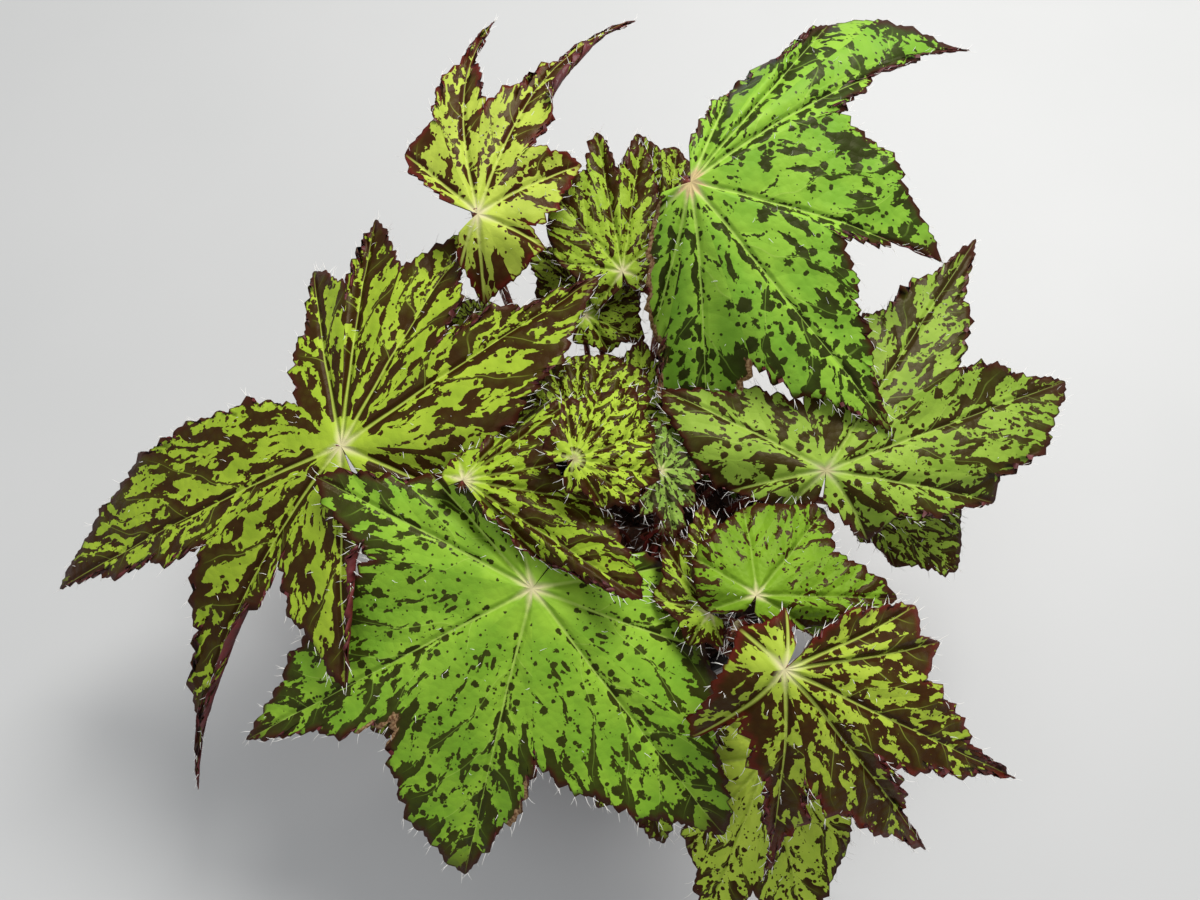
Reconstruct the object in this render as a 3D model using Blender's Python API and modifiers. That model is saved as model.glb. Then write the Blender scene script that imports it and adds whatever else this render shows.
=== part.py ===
# Potted begonia: a clump of lobed, toothed leaves on hairy stalks, rising from
# a creeping stem in the soil of a plain round nursery pot.
# Sizes are named in millimetres and turned into metres where they are used.
# The origin is at the centre of the pot's underside, +Z is up, and the front is -Y.

import math
from collections import namedtuple

import bmesh
import bpy
from mathutils import Matrix, Vector

MM = 0.001

# The pot
POT_HEIGHT = 108
POT_FOOT_RADIUS = 45
POT_RIM_RADIUS = 61
POT_WALL = 2.4
POT_FLOOR = 3.0
POT_BAND_HEIGHT = 16
POT_BAND_PROUD = 2.2
POT_STEPS = 36
DRAIN_COUNT = 6
DRAIN_RADIUS = 4.5
DRAIN_RING = 27
DRAIN_SIDES = 10

# The soil, which nearly fills the pot
SOIL_BELOW_RIM = 11
SOIL_DOME = 3
SOIL_STEPS = 28
GAP = 0.3

# The creeping stem that the inner leaves grow from, half sunk in the soil
STEM_POINTS = ((-39, -3), (-26, -1), (-12, 2), (2, 1), (16, -1), (32, 2))
STEM_RADII = (5.5, 8.5, 8.0, 9.0, 8.2, 5.0)
STEM_RISE = 1.5
STEM_STEPS = 3

# The stalks, and the holes that they stand in
FOOT_DEPTH = 7
HOLE_SIDES = 8
STALK_STEPS = 2
STALK_TAPER = 0.75
STALK_THROUGH = 0.5
STALK_RISE = 0.42
STALK_DROP = 0.34

# The blades
BLADE_THICKNESS = 0.75
TOOTH_HEIGHT = 0.11
TIP_HOLLOW = 0.07
DROOP_POWER = 1.7
RING_SHARES = (0.0, 0.32, 0.66, 1.0)
SMALL_RING_SHARES = (0.0, 0.5, 1.0)
SMALL_REACH = 96
LEAST_TURN = math.radians(0.5)
RIPPLE_WAVES = 9

# How wide the foliage is, and how wide the table of leaves below draws it. The
# table's places and reaches shrink about the middle of the soil's top.
FOLIAGE_SPREAD = 443
DRAWN_SPREAD = 540

SOIL_TOP = POT_HEIGHT - SOIL_BELOW_RIM
SHRINK = FOLIAGE_SPREAD / DRAWN_SPREAD

# A lobe is a heading in degrees, a reach and a droop in millimetres, in the
# leaf's own plane. The notch after it is a heading and a reach. A bend turns
# the lobe's far end sideways, in degrees. The swell is how far its two sides
# bulge, or hollow where negative, as shares of their lengths.
Lobe = namedtuple("Lobe", "heading reach droop notch bend swell", defaults=(None, 0, (0.02, 0.02)))

# hub: where the veins meet. lean: the heading that the leaf's plane falls to,
# and how steeply. foot: where the stalk stands, and in what. sinus: the first
# and the last point of the edge, either side of the slit that runs to the hub.
# via: points that the stalk passes on its way up.
Leaf = namedtuple(
    "Leaf",
    "hub lean foot sinus lobes stalk teeth fold ripple via",
    defaults=(1.8, 22, 0.05, 1.2, ()),
)

LEAVES = {
    "front_broad": Leaf(
        hub=(-57, -43, 172), lean=(-90, 20), foot=(-21, -20, "soil"),
        sinus=((72, 20), (393, 26)), stalk=2.6, teeth=34, ripple=2.5,
        lobes=(
            Lobe(104, 42, 10, (118, 46)), Lobe(133, 72, 12, (141, 77)),
            Lobe(153, 112, -2, (170, 72), 0, (0.04, 0.04)),
            Lobe(208, 160, 38, (223, 86), 0, (0.03, 0.0)),
            Lobe(256, 144, 42, (270, 78), 0, (0.14, 0.05)),
            Lobe(307, 149, 32, (318, 114), 0, (0.03, 0.08)),
            Lobe(339, 87, 28, (354, 74), 0, (0.0, 0.02)), Lobe(368, 64, 34),
        ),
    ),
    "left_long": Leaf(
        hub=(-148, 22, 185), lean=(-140, 16), foot=(-30, -1, "stem"),
        sinus=((-44, 26), (282, 28)), stalk=2.6, teeth=38, ripple=1.5,
        lobes=(
            Lobe(-25, 54, 22, (-5, 60)), Lobe(33, 146, 14, (45, 68), 0, (0.08, 0.0)),
            Lobe(63, 128, 16, (76, 93), 0, (0.0, 0.02)),
            Lobe(89, 128, 20, (93, 83), 0, (0.0, -0.06)),
            Lobe(107, 107, 17, (138, 32), 0, (0.02, 0.0)),
            Lobe(197, 190, 39, (208, 84), 0, (0.16, 0.0)),
            Lobe(227, 198, 78, (236, 58), 7, (-0.05, 0.03)),
            Lobe(271, 110, 10, None, 0, (0.1, 0.04)),
        ),
    ),
    "back_left": Leaf(
        hub=(-85, 126, 225), lean=(-70, 12), foot=(-23, 21, "soil"),
        sinus=((222, 12), (518, 14)), stalk=2.2, teeth=30, ripple=1.5,
        lobes=(
            Lobe(248, 23, 14, (256, 24)), Lobe(275, 35, 26, (308, 31)),
            Lobe(343, 34, 12, (355, 25)), Lobe(399, 65, 20, (420, 44), 0, (0.04, 0.04)),
            Lobe(435, 160, 30, (453, 57), -15, (0.04, -0.08)),
            Lobe(463, 124, 18, (477, 58), -15, (-0.05, -0.02)),
            Lobe(496, 53, 12, None, 0, (0.03, 0.05)),
        ),
    ),
    "back_right_large": Leaf(
        hub=(16, 134, 238), lean=(-75, 26), foot=(13, 25, "soil"),
        sinus=((200, 14), (452, 18)), stalk=2.8, teeth=38, ripple=1.5,
        via=((28, 78, 162), (27, 122, 205)),
        lobes=(
            Lobe(223, 20, 8, (236, 30)), Lobe(261, 67, 32, (266, 74)),
            Lobe(280, 130, 50, (293, 88), 0, (0.14, 0.02)),
            Lobe(313, 156, 8, (346, 75), 0, (0.0, -0.02)),
            Lobe(351, 136, 12, (392, 81), -4, (-0.06, 0.08)),
            Lobe(398, 185, 44, (407, 144), -11, (-0.08, 0.03)),
            Lobe(411, 128, 44, (416, 86)), Lobe(426, 60, 30),
        ),
    ),
    "right_star": Leaf(
        hub=(83, 17, 168), lean=(-40, 10), foot=(27, 1, "stem"),
        sinus=((284, 14), (597, 14)), stalk=2.4, teeth=36, ripple=1.5,
        lobes=(
            Lobe(314, 40, 20, (336, 43)), Lobe(356, 97, 17, (363, 95)),
            Lobe(383, 155, 10, (398, 92), 0, (0.1, 0.02)),
            Lobe(415, 169, 2, (466, 34), 0, (-0.02, 0.04)),
            Lobe(511, 89, 12, (534, 64)), Lobe(550, 43, 16, (566, 32)), Lobe(584, 27, 18),
        ),
    ),
    "right_low": Leaf(
        hub=(119, 19, 118), lean=(-40, 20), foot=(36, 18, "soil"), via=((62, 22, 124),),
        sinus=((215, 10), (500, 12)), teeth=30,
        lobes=(
            Lobe(255, 20, 6, (276, 20)), Lobe(300, 36, 8, (314, 42)),
            Lobe(328, 62, 4, (345, 58)), Lobe(363, 58, 4, (386, 40)),
            Lobe(412, 46, 5, (438, 28)), Lobe(468, 34, 6),
        ),
    ),
    "centre_right": Leaf(
        hub=(44, -46, 172), lean=(-40, 14), foot=(19, -16, "soil"), via=((46, -28, 138),),
        sinus=((276, 8), (588, 9)), teeth=26,
        lobes=(
            Lobe(333, 38, 14, (350, 43), 0, (-0.12, 0.02)), Lobe(361, 71, 4, (389, 46)),
            Lobe(407, 61, 14, (423, 50)), Lobe(450, 43, 14, (474, 35)),
            Lobe(506, 31, 10, (532, 26)), Lobe(558, 21, 12),
        ),
    ),
    "front_right_star": Leaf(
        hub=(51, -82, 186), lean=(-65, 26), foot=(7, -27, "soil"), via=((38, -64, 132), (46, -74, 160)),
        sinus=((56, 10), (399, 10)), stalk=2.2, teeth=32,
        lobes=(
            Lobe(73, 24, 16, (108, 18)), Lobe(135, 21, 18, (187, 18)),
            Lobe(236, 48, 40, (241, 26), 0, (0.1, 0.0)),
            Lobe(277, 112, 52, (287, 54), 0, (-0.05, 0.0)),
            Lobe(314, 132, 38, (320, 64), 0, (0.02, -0.04)),
            Lobe(336, 143, 28, (354, 70), 0, (-0.01, -0.07)),
            Lobe(365, 85, 22, (370, 70)), Lobe(378, 77, 24, None, 0, (0.02, 0.12)),
        ),
    ),
    "front_right_low": Leaf(
        hub=(56, -108, 104), lean=(-80, 22), foot=(23, -33, "soil"), via=((42, -56, 121), (52, -80, 110)),
        sinus=((80, 10), (398, 14)), teeth=34,
        lobes=(
            Lobe(112, 46, 2, (127, 38)), Lobe(142, 46, 0, (163, 30)),
            Lobe(190, 33, 12, (213, 44)),
            Lobe(233, 62, 14, (240, 66)), Lobe(252, 90, 17, (265, 67)),
            Lobe(284, 90, 14, (297, 71)), Lobe(313, 62, 6, (327, 50)),
            Lobe(342, 38, 6),
        ),
    ),
    "centre_young": Leaf(
        hub=(-38, 4, 210), lean=(-40, 16), foot=(-9, 1, "stem"),
        sinus=((236, 7), (552, 8)), stalk=1.5, teeth=24,
        lobes=(
            Lobe(262, 14, 5, (288, 14)), Lobe(310, 26, 7, (318, 27)),
            Lobe(331, 35, 7, (342, 33)), Lobe(355, 42, 8, (372, 36)),
            Lobe(385, 44, 9, (402, 41)), Lobe(413, 49, 11, (422, 40)),
            Lobe(429, 38, 10, (444, 28)), Lobe(457, 30, 6, (470, 18)),
            Lobe(520, 14, 6),
        ),
    ),
    "centre_young_behind": Leaf(
        hub=(-38, 31, 180), lean=(20, 6), foot=(-8, 18, "soil"),
        sinus=((-46, 12), (238, 10)), stalk=1.5, teeth=26,
        lobes=(
            Lobe(0, 32, 6, (28, 38)), Lobe(50, 56, 10, (59, 50)),
            Lobe(70, 54, 6, (79, 46)), Lobe(88, 47, 5, (99, 43)),
            Lobe(108, 45, 4, (123, 41)), Lobe(138, 41, 4, (160, 24)),
            Lobe(190, 24, 5),
        ),
    ),
    "centre_left": Leaf(
        hub=(-88, 0, 196), lean=(-50, 8), foot=(-20, 1, "stem"), via=((-46, 14, 142), (-76, 13, 176)),
        sinus=((-52, 12), (200, 7)), stalk=1.8, teeth=30,
        lobes=(
            Lobe(-42, 50, 9, (-38, 66)), Lobe(-32, 96, 5, (-21, 76)),
            Lobe(-7, 63, 3, (4, 44)), Lobe(13, 42, 1, (25, 44)),
            Lobe(41, 66, 4, (47, 55)), Lobe(54, 55, 18, (66, 18)),
            Lobe(100, 14, 4, (130, 11)), Lobe(160, 11, 4),
        ),
    ),
    "back_middle": Leaf(
        hub=(-15, 118, 190), lean=(-110, 10), foot=(-3, 29, "soil"), via=((0, 76, 150), (3, 111, 172)),
        sinus=((-66, 8), (268, 8)), stalk=1.8, teeth=30,
        lobes=(
            Lobe(-20, 28, 8, (14, 26)), Lobe(46, 38, 8, (66, 46)),
            Lobe(82, 76, 0, (91, 50)), Lobe(99, 81, -5, (107, 59)),
            Lobe(128, 57, -3, (148, 46)), Lobe(168, 34, 2, (196, 20)),
            Lobe(230, 22, 8),
        ),
    ),
    "back_shaded": Leaf(
        hub=(11, 155, 172), lean=(-100, 12), foot=(6, 34, "soil"), via=((9, 60, 139),),
        sinus=((-44, 10), (252, 10)), stalk=1.8, teeth=34,
        lobes=(
            Lobe(0, 30, 8, (26, 28)), Lobe(46, 38, 8, (68, 42)),
            Lobe(84, 54, 0, (94, 50)), Lobe(105, 64, -3, (117, 52)),
            Lobe(128, 45, -3, (154, 28)), Lobe(194, 28, 2),
        ),
    ),
    "back_low": Leaf(
        hub=(-32, 126, 160), lean=(-120, 12), foot=(-12, 34, "soil"), via=((-17, 60, 124),),
        sinus=((-62, 8), (288, 8)), stalk=1.5, teeth=30,
        lobes=(
            Lobe(-14, 24, 5, (20, 18)), Lobe(50, 28, 3, (68, 22)),
            Lobe(85, 33, 0, (96, 25)), Lobe(108, 44, -4, (126, 32)),
            Lobe(141, 46, -3, (162, 30)), Lobe(188, 29, 2, (215, 18)),
            Lobe(246, 20, 6),
        ),
    ),
    "back_small": Leaf(
        hub=(-34, 102, 174), lean=(-60, 14), foot=(-14, 24, "soil"),
        sinus=((212, 6), (528, 6)), stalk=1.5, teeth=26,
        lobes=(
            Lobe(246, 14, 6, (280, 15)), Lobe(308, 22, 5, (326, 23)),
            Lobe(342, 33, 4, (366, 28)), Lobe(392, 35, 3, (410, 26)),
            Lobe(428, 24, 1, (452, 15)), Lobe(482, 15, 3),
        ),
    ),
    "left_low": Leaf(
        hub=(-93, 114, 150), lean=(-110, 10), foot=(-36, 23, "soil"), via=((-62, 52, 125),),
        sinus=((-52, 6), (298, 6)), stalk=1.5, teeth=26,
        lobes=(
            Lobe(10, 18, 5, (50, 13)), Lobe(84, 17, 4, (100, 13)),
            Lobe(115, 19, 4, (126, 16)), Lobe(138, 27, 5, (168, 16)),
            Lobe(205, 22, 6, (234, 13)), Lobe(268, 17, 7),
        ),
    ),
    "crown_small": Leaf(
        hub=(3, 16, 170), lean=(-80, 6), foot=(4, 0, "stem"), via=((2, 15, 138),),
        sinus=((214, 6), (530, 6)), stalk=1.3, teeth=22,
        lobes=(
            Lobe(244, 24, 4, (262, 20)), Lobe(280, 33, 6, (300, 19)),
            Lobe(318, 23, 8, (340, 17)), Lobe(372, 23, 11, (394, 22)),
            Lobe(422, 30, 12, (440, 26)), Lobe(462, 32, 11, (480, 24)),
            Lobe(504, 20, 8),
        ),
    ),
    "centre_shaded": Leaf(
        hub=(-7, 50, 157), lean=(-90, 12), foot=(3, 18, "soil"),
        sinus=((196, 6), (512, 6)), stalk=1.3, teeth=26,
        lobes=(
            Lobe(232, 20, 4, (262, 16)), Lobe(318, 24, 8, (342, 17)),
            Lobe(376, 20, 9, (396, 19)), Lobe(419, 38, 2, (432, 32)),
            Lobe(447, 42, -2, (462, 34)), Lobe(480, 36, 2),
        ),
    ),
    "centre_low": Leaf(
        hub=(24, -51, 160), lean=(-100, 6), foot=(5, -16, "soil"),
        sinus=((-4, 8), (332, 7)), stalk=1.5, teeth=28,
        lobes=(
            Lobe(34, 18, 6, (66, 26)), Lobe(91, 53, 5, (104, 36)),
            Lobe(121, 41, 7, (140, 27)), Lobe(164, 27, 3, (194, 15)),
            Lobe(236, 17, 7, (262, 13)), Lobe(294, 16, 8),
        ),
    ),
    "front_low_left": Leaf(
        hub=(-94, -64, 96), lean=(-100, 16), foot=(-33, -22, "soil"),
        sinus=((36, 9), (386, 12)), stalk=2.0, teeth=34, via=((-58, -42, 122),),
        lobes=(
            Lobe(94, 36, 8, (130, 26)), Lobe(166, 42, 9, (188, 34)),
            Lobe(210, 63, 12, (248, 38)), Lobe(294, 69, 16, (315, 38)),
            Lobe(342, 48, 12),
        ),
    ),
    "front_low_right": Leaf(
        hub=(-14, -96, 92), lean=(-80, 16), foot=(-8, -36, "soil"),
        sinus=((116, 8), (426, 8)), stalk=2.0, teeth=34, via=((-10, -68, 131),),
        lobes=(
            Lobe(160, 24, 6, (186, 20)), Lobe(215, 30, 10, (234, 24)),
            Lobe(250, 40, 14, (270, 34)), Lobe(291, 60, 14, (313, 38)),
            Lobe(335, 51, 10, (354, 28)), Lobe(384, 28, 5),
        ),
    ),
    "right_shaded": Leaf(
        hub=(49, 43, 125), lean=(-120, 8), foot=(22, 21, "soil"),
        sinus=((-66, 8), (284, 8)), stalk=1.8, teeth=30,
        lobes=(
            Lobe(-20, 28, 5, (22, 20)), Lobe(58, 32, 3, (76, 24)),
            Lobe(92, 36, 1, (108, 28)), Lobe(121, 43, 2, (135, 30)),
            Lobe(150, 38, 4, (176, 18)), Lobe(207, 24, 5, (236, 16)),
            Lobe(262, 22, 7),
        ),
    ),
    "young_bud": Leaf(
        hub=(5, -4, 148), lean=(-100, 24), foot=(12, -13, "soil"),
        sinus=((-194, 4), (-6, 4)), stalk=1.2, teeth=22, fold=0.45,
        lobes=(
            Lobe(-158, 15, 2, (-142, 12)), Lobe(-122, 22, 3, (-110, 15)),
            Lobe(-96, 27, 4, (-82, 14)), Lobe(-68, 21, 3, (-52, 12)),
            Lobe(-36, 14, 2),
        ),
    ),
    "young_folded": Leaf(
        hub=(36, -54, 156), lean=(-50, 30), foot=(15, -28, "soil"), via=((30, -46, 130),),
        sinus=((-140, 4), (40, 4)), stalk=1.3, teeth=22, fold=0.5,
        lobes=(
            Lobe(-104, 10, 2, (-92, 9)), Lobe(-72, 17, 3, (-62, 14)),
            Lobe(-50, 28, 4, (-38, 14)), Lobe(-28, 17, 3, (-8, 9)),
            Lobe(6, 10, 2),
        ),
    ),
}

# Base colour, roughness and metallic value of each material
FINISHES = {
    "pot_plastic": ((0.035, 0.034, 0.033), 0.55, 0.0),
    "soil": ((0.045, 0.026, 0.015), 0.95, 0.0),
    "creeping_stem": ((0.20, 0.09, 0.045), 0.75, 0.0),
    "leaf_green": ((0.16, 0.42, 0.035), 0.5, 0.0),
    "young_leaf": ((0.30, 0.50, 0.05), 0.5, 0.0),
    "leaf_maroon": ((0.16, 0.02, 0.025), 0.6, 0.0),
}
YOUNG_LEAVES = ("centre_young", "centre_young_behind", "back_left", "front_right_star", "crown_small")
FOLDED_LEAVES = ("young_folded", "young_bud")


def clear_scene():
    for thing in list(bpy.data.objects):
        bpy.data.objects.remove(thing, do_unlink=True)


def new_collection(name):
    made = bpy.data.collections.new(name)
    bpy.context.scene.collection.children.link(made)
    return made


def finish(name):
    """The material of this name, made once."""
    found = bpy.data.materials.get(name)
    if found:
        return found
    colour, roughness, metallic = FINISHES[name]
    made = bpy.data.materials.new(name)
    made.use_nodes = True
    shader = made.node_tree.nodes["Principled BSDF"]
    shader.inputs["Base Color"].default_value = (*colour, 1)
    shader.inputs["Roughness"].default_value = roughness
    shader.inputs["Metallic"].default_value = metallic
    return made


def add_object(name, data, collection, material):
    made = bpy.data.objects.new(name, data)
    collection.objects.link(made)
    if material:
        data.materials.append(finish(material))
    return made


def make_helper(thing):
    thing.hide_render = True
    thing.display_type = "WIRE"


def smooth(mesh, angle=40):
    mesh.shade_smooth()
    mesh.set_sharp_from_angle(angle=math.radians(angle))


def mesh_from_curve(curve_object, name, collection, material):
    """A mesh object of this curve, its caps welded to its sides. The curve goes."""
    graph = bpy.context.evaluated_depsgraph_get()
    mesh = bpy.data.meshes.new_from_object(curve_object.evaluated_get(graph))
    mesh.name = name
    bm = bmesh.new()
    bm.from_mesh(mesh)
    bmesh.ops.remove_doubles(bm, verts=bm.verts, dist=1e-6)
    bmesh.ops.recalc_face_normals(bm, faces=bm.faces)
    bm.to_mesh(mesh)
    bm.free()
    mesh.materials.clear()
    made = add_object(name, mesh, collection, material)
    made.matrix_world = curve_object.matrix_world
    bpy.data.objects.remove(curve_object, do_unlink=True)
    return made


def tube(name, points, radii, resolution, collection, material):
    """A round tube along these points, in millimetres, with a radius at each."""
    curve = bpy.data.curves.new(name + "_line", "CURVE")
    curve.dimensions = "3D"
    curve.bevel_depth = MM
    curve.bevel_resolution = resolution
    curve.use_fill_caps = True
    spline = curve.splines.new("POLY")
    spline.points.add(len(points) - 1)
    for point, place, radius in zip(spline.points, points, radii):
        point.co = (*(Vector(place) * MM), 1)
        point.radius = radius
    line = bpy.data.objects.new(name + "_line", curve)
    collection.objects.link(line)
    return mesh_from_curve(line, name, collection, material)


def through(points, steps):
    """Points on a smooth curve through these ones."""
    path = [Vector(p) for p in points]
    ends = [2 * path[0] - path[1], *path, 2 * path[-1] - path[-2]]
    made = []
    for before, start, end, after in zip(ends, ends[1:], ends[2:], ends[3:]):
        for step in range(steps):
            t = step / steps
            made.append(
                0.5 * (2 * start + (end - before) * t
                       + (2 * before - 5 * start + 4 * end - after) * t**2
                       + (3 * start - before - 3 * end + after) * t**3)
            )
    return made + [path[-1]]


def ease(t):
    return t * t * (3 - 2 * t)


def envelope(leaf, heading):
    """The reach, droop and bend of the lobes at this heading, and how far it is
    from a lobe's middle, which is 0, to a notch, which is 1."""
    lobes = leaf.lobes
    if heading <= lobes[0].heading or heading >= lobes[-1].heading:
        end = lobes[0] if heading <= lobes[0].heading else lobes[-1]
        limit = leaf.sinus[0][0] if end is lobes[0] else leaf.sinus[1][0]
        return end.reach, end.droop, end.bend, min(1, abs((heading - end.heading) / (limit - end.heading)))
    for first, second in zip(lobes, lobes[1:]):
        if heading <= second.heading:
            break
    share = ease((heading - first.heading) / (second.heading - first.heading))
    middle = first.notch[0]
    if heading < middle:
        aside = (heading - first.heading) / (middle - first.heading)
    else:
        aside = (second.heading - heading) / (second.heading - middle)
    return (
        first.reach + (second.reach - first.reach) * share,
        first.droop + (second.droop - first.droop) * share,
        first.bend + (second.bend - first.bend) * share,
        aside,
    )


def polar(heading, reach):
    angle = math.radians(heading)
    return Vector((reach * math.cos(angle), reach * math.sin(angle)))


def edge_points(leaf):
    """The leaf's toothed edge, as (heading, reach), from one side of the slit
    round to the other. Close to a lobe's tip the sides draw in and the teeth fade."""
    sides = []
    before = polar(*leaf.sinus[0])
    for lobe in leaf.lobes:
        tip = polar(lobe.heading, lobe.reach)
        after = polar(*(lobe.notch or leaf.sinus[1]))
        sides += [(before, tip, lobe.swell[0], True), (tip, after, lobe.swell[1], False)]
        before = after
    flat = []
    for start, end, swell, to_tip in sides:
        along = end - start
        outward = Vector((along.y, -along.x))
        count = max(1, round(along.length / leaf.teeth))
        height = TOOTH_HEIGHT * along.length / count
        for step in range(count):
            shares = [(step / count, 0)]
            lean = 0.8 if to_tip else 0.2
            if count > 1 or along.length > 0.7 * leaf.teeth:
                shares.append(((step + lean) / count, height))
            for share, lift in shares:
                close = share if to_tip else 1 - share
                bulge = swell * 4 * share * (1 - share) - TIP_HOLLOW * close**4 * (1 - close**4)
                lift *= 1 - close**3
                flat.append(start + along * share + outward * bulge + outward.normalized() * lift)
    flat.append(before)
    made = []
    for point in flat:
        heading = math.atan2(point.y, point.x)
        if made:
            turn = (heading - made[-1][0]) % math.tau
            heading = made[-1][0] + (turn if LEAST_TURN < turn < math.pi else LEAST_TURN)
        else:
            heading = math.radians(leaf.sinus[0][0])
        made.append((heading, point.length))
    return made


def drawn_place(point):
    """Where a place in the table of leaves is on the plant, in millimetres."""
    x, y, z = point
    return Vector((x * SHRINK, y * SHRINK, SOIL_TOP + (z - SOIL_TOP) * SHRINK))


def leaf_frame(leaf):
    """The matrix that carries the leaf's own plane to its place, in millimetres."""
    heading, fall = map(math.radians, leaf.lean)
    level = Vector((-math.sin(heading), math.cos(heading), 0))
    return Matrix.Translation(drawn_place(leaf.hub)) @ Matrix.Rotation(fall, 4, level)


def on_blade(leaf, heading, reach):
    """The point of the blade at this heading, in radians, and reach."""
    full, droop, bend, aside = envelope(leaf, math.degrees(heading))
    share = min(1.05, reach / full)
    turned = heading + math.radians(bend) * share**2
    height = -droop * share**DROOP_POWER
    height += leaf.fold * reach * (1 - math.cos(math.pi * aside)) / 2
    height += leaf.ripple * math.sin(RIPPLE_WAVES * heading) * share**2
    return Vector((reach * math.cos(turned), reach * math.sin(turned), height)) * SHRINK


def make_blade(name, leaf, collection, material):
    """A grid rolled into a fan about the hub: its columns are rays from the hub
    to the edge, and its rows are rings."""
    edge = edge_points(leaf)
    widest = max(lobe.reach for lobe in leaf.lobes)
    shares = SMALL_RING_SHARES if widest < SMALL_REACH else RING_SHARES
    bm = bmesh.new()
    bmesh.ops.create_grid(bm, x_segments=len(edge) - 1, y_segments=len(shares) - 1, size=1)
    place = leaf_frame(leaf)
    for vertex in bm.verts:
        column = round((vertex.co.x + 1) / 2 * (len(edge) - 1))
        row = round((vertex.co.y + 1) / 2 * (len(shares) - 1))
        heading, reach = edge[column]
        vertex.co = place @ on_blade(leaf, heading, reach * shares[row]) * MM
    bmesh.ops.remove_doubles(bm, verts=bm.verts, dist=1e-6)
    bmesh.ops.recalc_face_normals(bm, faces=bm.faces)
    if sum(face.normal.z * face.calc_area() for face in bm.faces) < 0:
        bmesh.ops.reverse_faces(bm, faces=bm.faces)
    bmesh.ops.triangulate(bm, faces=bm.faces)
    mesh = bpy.data.meshes.new(name)
    bm.to_mesh(mesh)
    bm.free()
    blade = add_object(name, mesh, collection, material)
    wall = blade.modifiers.new("thickness", "SOLIDIFY")
    wall.thickness = BLADE_THICKNESS * MM
    wall.offset = -1
    return blade


def foot_of(leaf):
    """The stalk's lowest point, and the height of what it stands in."""
    x, y, ground = leaf.foot
    top = SOIL_TOP + STEM_RISE + 8 if ground == "stem" else SOIL_TOP + SOIL_DOME / 2
    return Vector((x, y, top - FOOT_DEPTH)), top


def stalk_path(leaf):
    foot, ground = foot_of(leaf)
    hub = drawn_place(leaf.hub)
    up = leaf_frame(leaf).to_3x3() @ Vector((0, 0, 1))
    rise = (hub - foot).length
    above = Vector((foot.x, foot.y, ground + 2))
    lower = above.lerp(hub, 0.3)
    lower.z = above.z + STALK_RISE * (hub.z - above.z)
    last = hub - up * STALK_DROP * rise
    middle = [drawn_place(point) for point in leaf.via] or [lower.lerp(last, 0.5)]
    return [foot, *through([above, *middle, hub - up * 6, hub + up * STALK_THROUGH], STALK_STEPS)]


def make_stalk(name, leaf, collection):
    path = stalk_path(leaf)
    last = len(path) - 1
    radii = [leaf.stalk * (1 - (1 - STALK_TAPER) * index / last) for index in range(last + 1)]
    return tube(name, path, radii, 1, collection, None)


def make_leaf(name, leaf, collection, helpers):
    if name in YOUNG_LEAVES:
        material = "young_leaf"
    elif name in FOLDED_LEAVES:
        material = "leaf_maroon"
    else:
        material = "leaf_green"
    blade = make_blade("leaf_" + name, leaf, collection, material)
    stalk = make_stalk("stalk_" + name, leaf, helpers)
    make_helper(stalk)
    join = blade.modifiers.new("stalk", "BOOLEAN")
    join.operation = "UNION"
    join.object = stalk
    return blade


def make_holes(helpers):
    """One cylinder round each stalk's foot, for the soil and the creeping stem."""
    bm = bmesh.new()
    for leaf in LEAVES.values():
        foot, ground = foot_of(leaf)
        length = ground + 14 - foot.z + GAP
        middle = Vector((foot.x, foot.y, foot.z - GAP + length / 2))
        bmesh.ops.create_cone(
            bm, cap_ends=True, segments=HOLE_SIDES, depth=length * MM,
            radius1=(leaf.stalk + GAP) * MM / math.cos(math.pi / HOLE_SIDES),
            radius2=(leaf.stalk + GAP) * MM / math.cos(math.pi / HOLE_SIDES),
            matrix=Matrix.Translation(middle * MM),
        )
    mesh = bpy.data.meshes.new("stalk_holes")
    bm.to_mesh(mesh)
    bm.free()
    holes = add_object("stalk_holes", mesh, helpers, None)
    make_helper(holes)
    return holes


def cut(thing, cutter):
    modifier = thing.modifiers.new(cutter.name, "BOOLEAN")
    modifier.operation = "DIFFERENCE"
    modifier.object = cutter


def turned(name, profile, steps, collection, material):
    """A closed profile of (radius, height) in millimetres, turned about Z."""
    bm = bmesh.new()
    corners = [bm.verts.new((radius * MM, 0, height * MM)) for radius, height in profile]
    for first, second in zip(corners, corners[1:]):
        bm.edges.new((first, second))
    mesh = bpy.data.meshes.new(name)
    bm.to_mesh(mesh)
    bm.free()
    made = add_object(name, mesh, collection, material)
    screw = made.modifiers.new("turn", "SCREW")
    screw.steps = steps
    screw.render_steps = steps
    screw.use_merge_vertices = True
    screw.merge_threshold = 0.00001
    return made


def pot_radius(height):
    """The pot's outer radius at this height, under the band."""
    return POT_FOOT_RADIUS + (POT_RIM_RADIUS - POT_BAND_PROUD - POT_FOOT_RADIUS) * height / POT_HEIGHT


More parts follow.
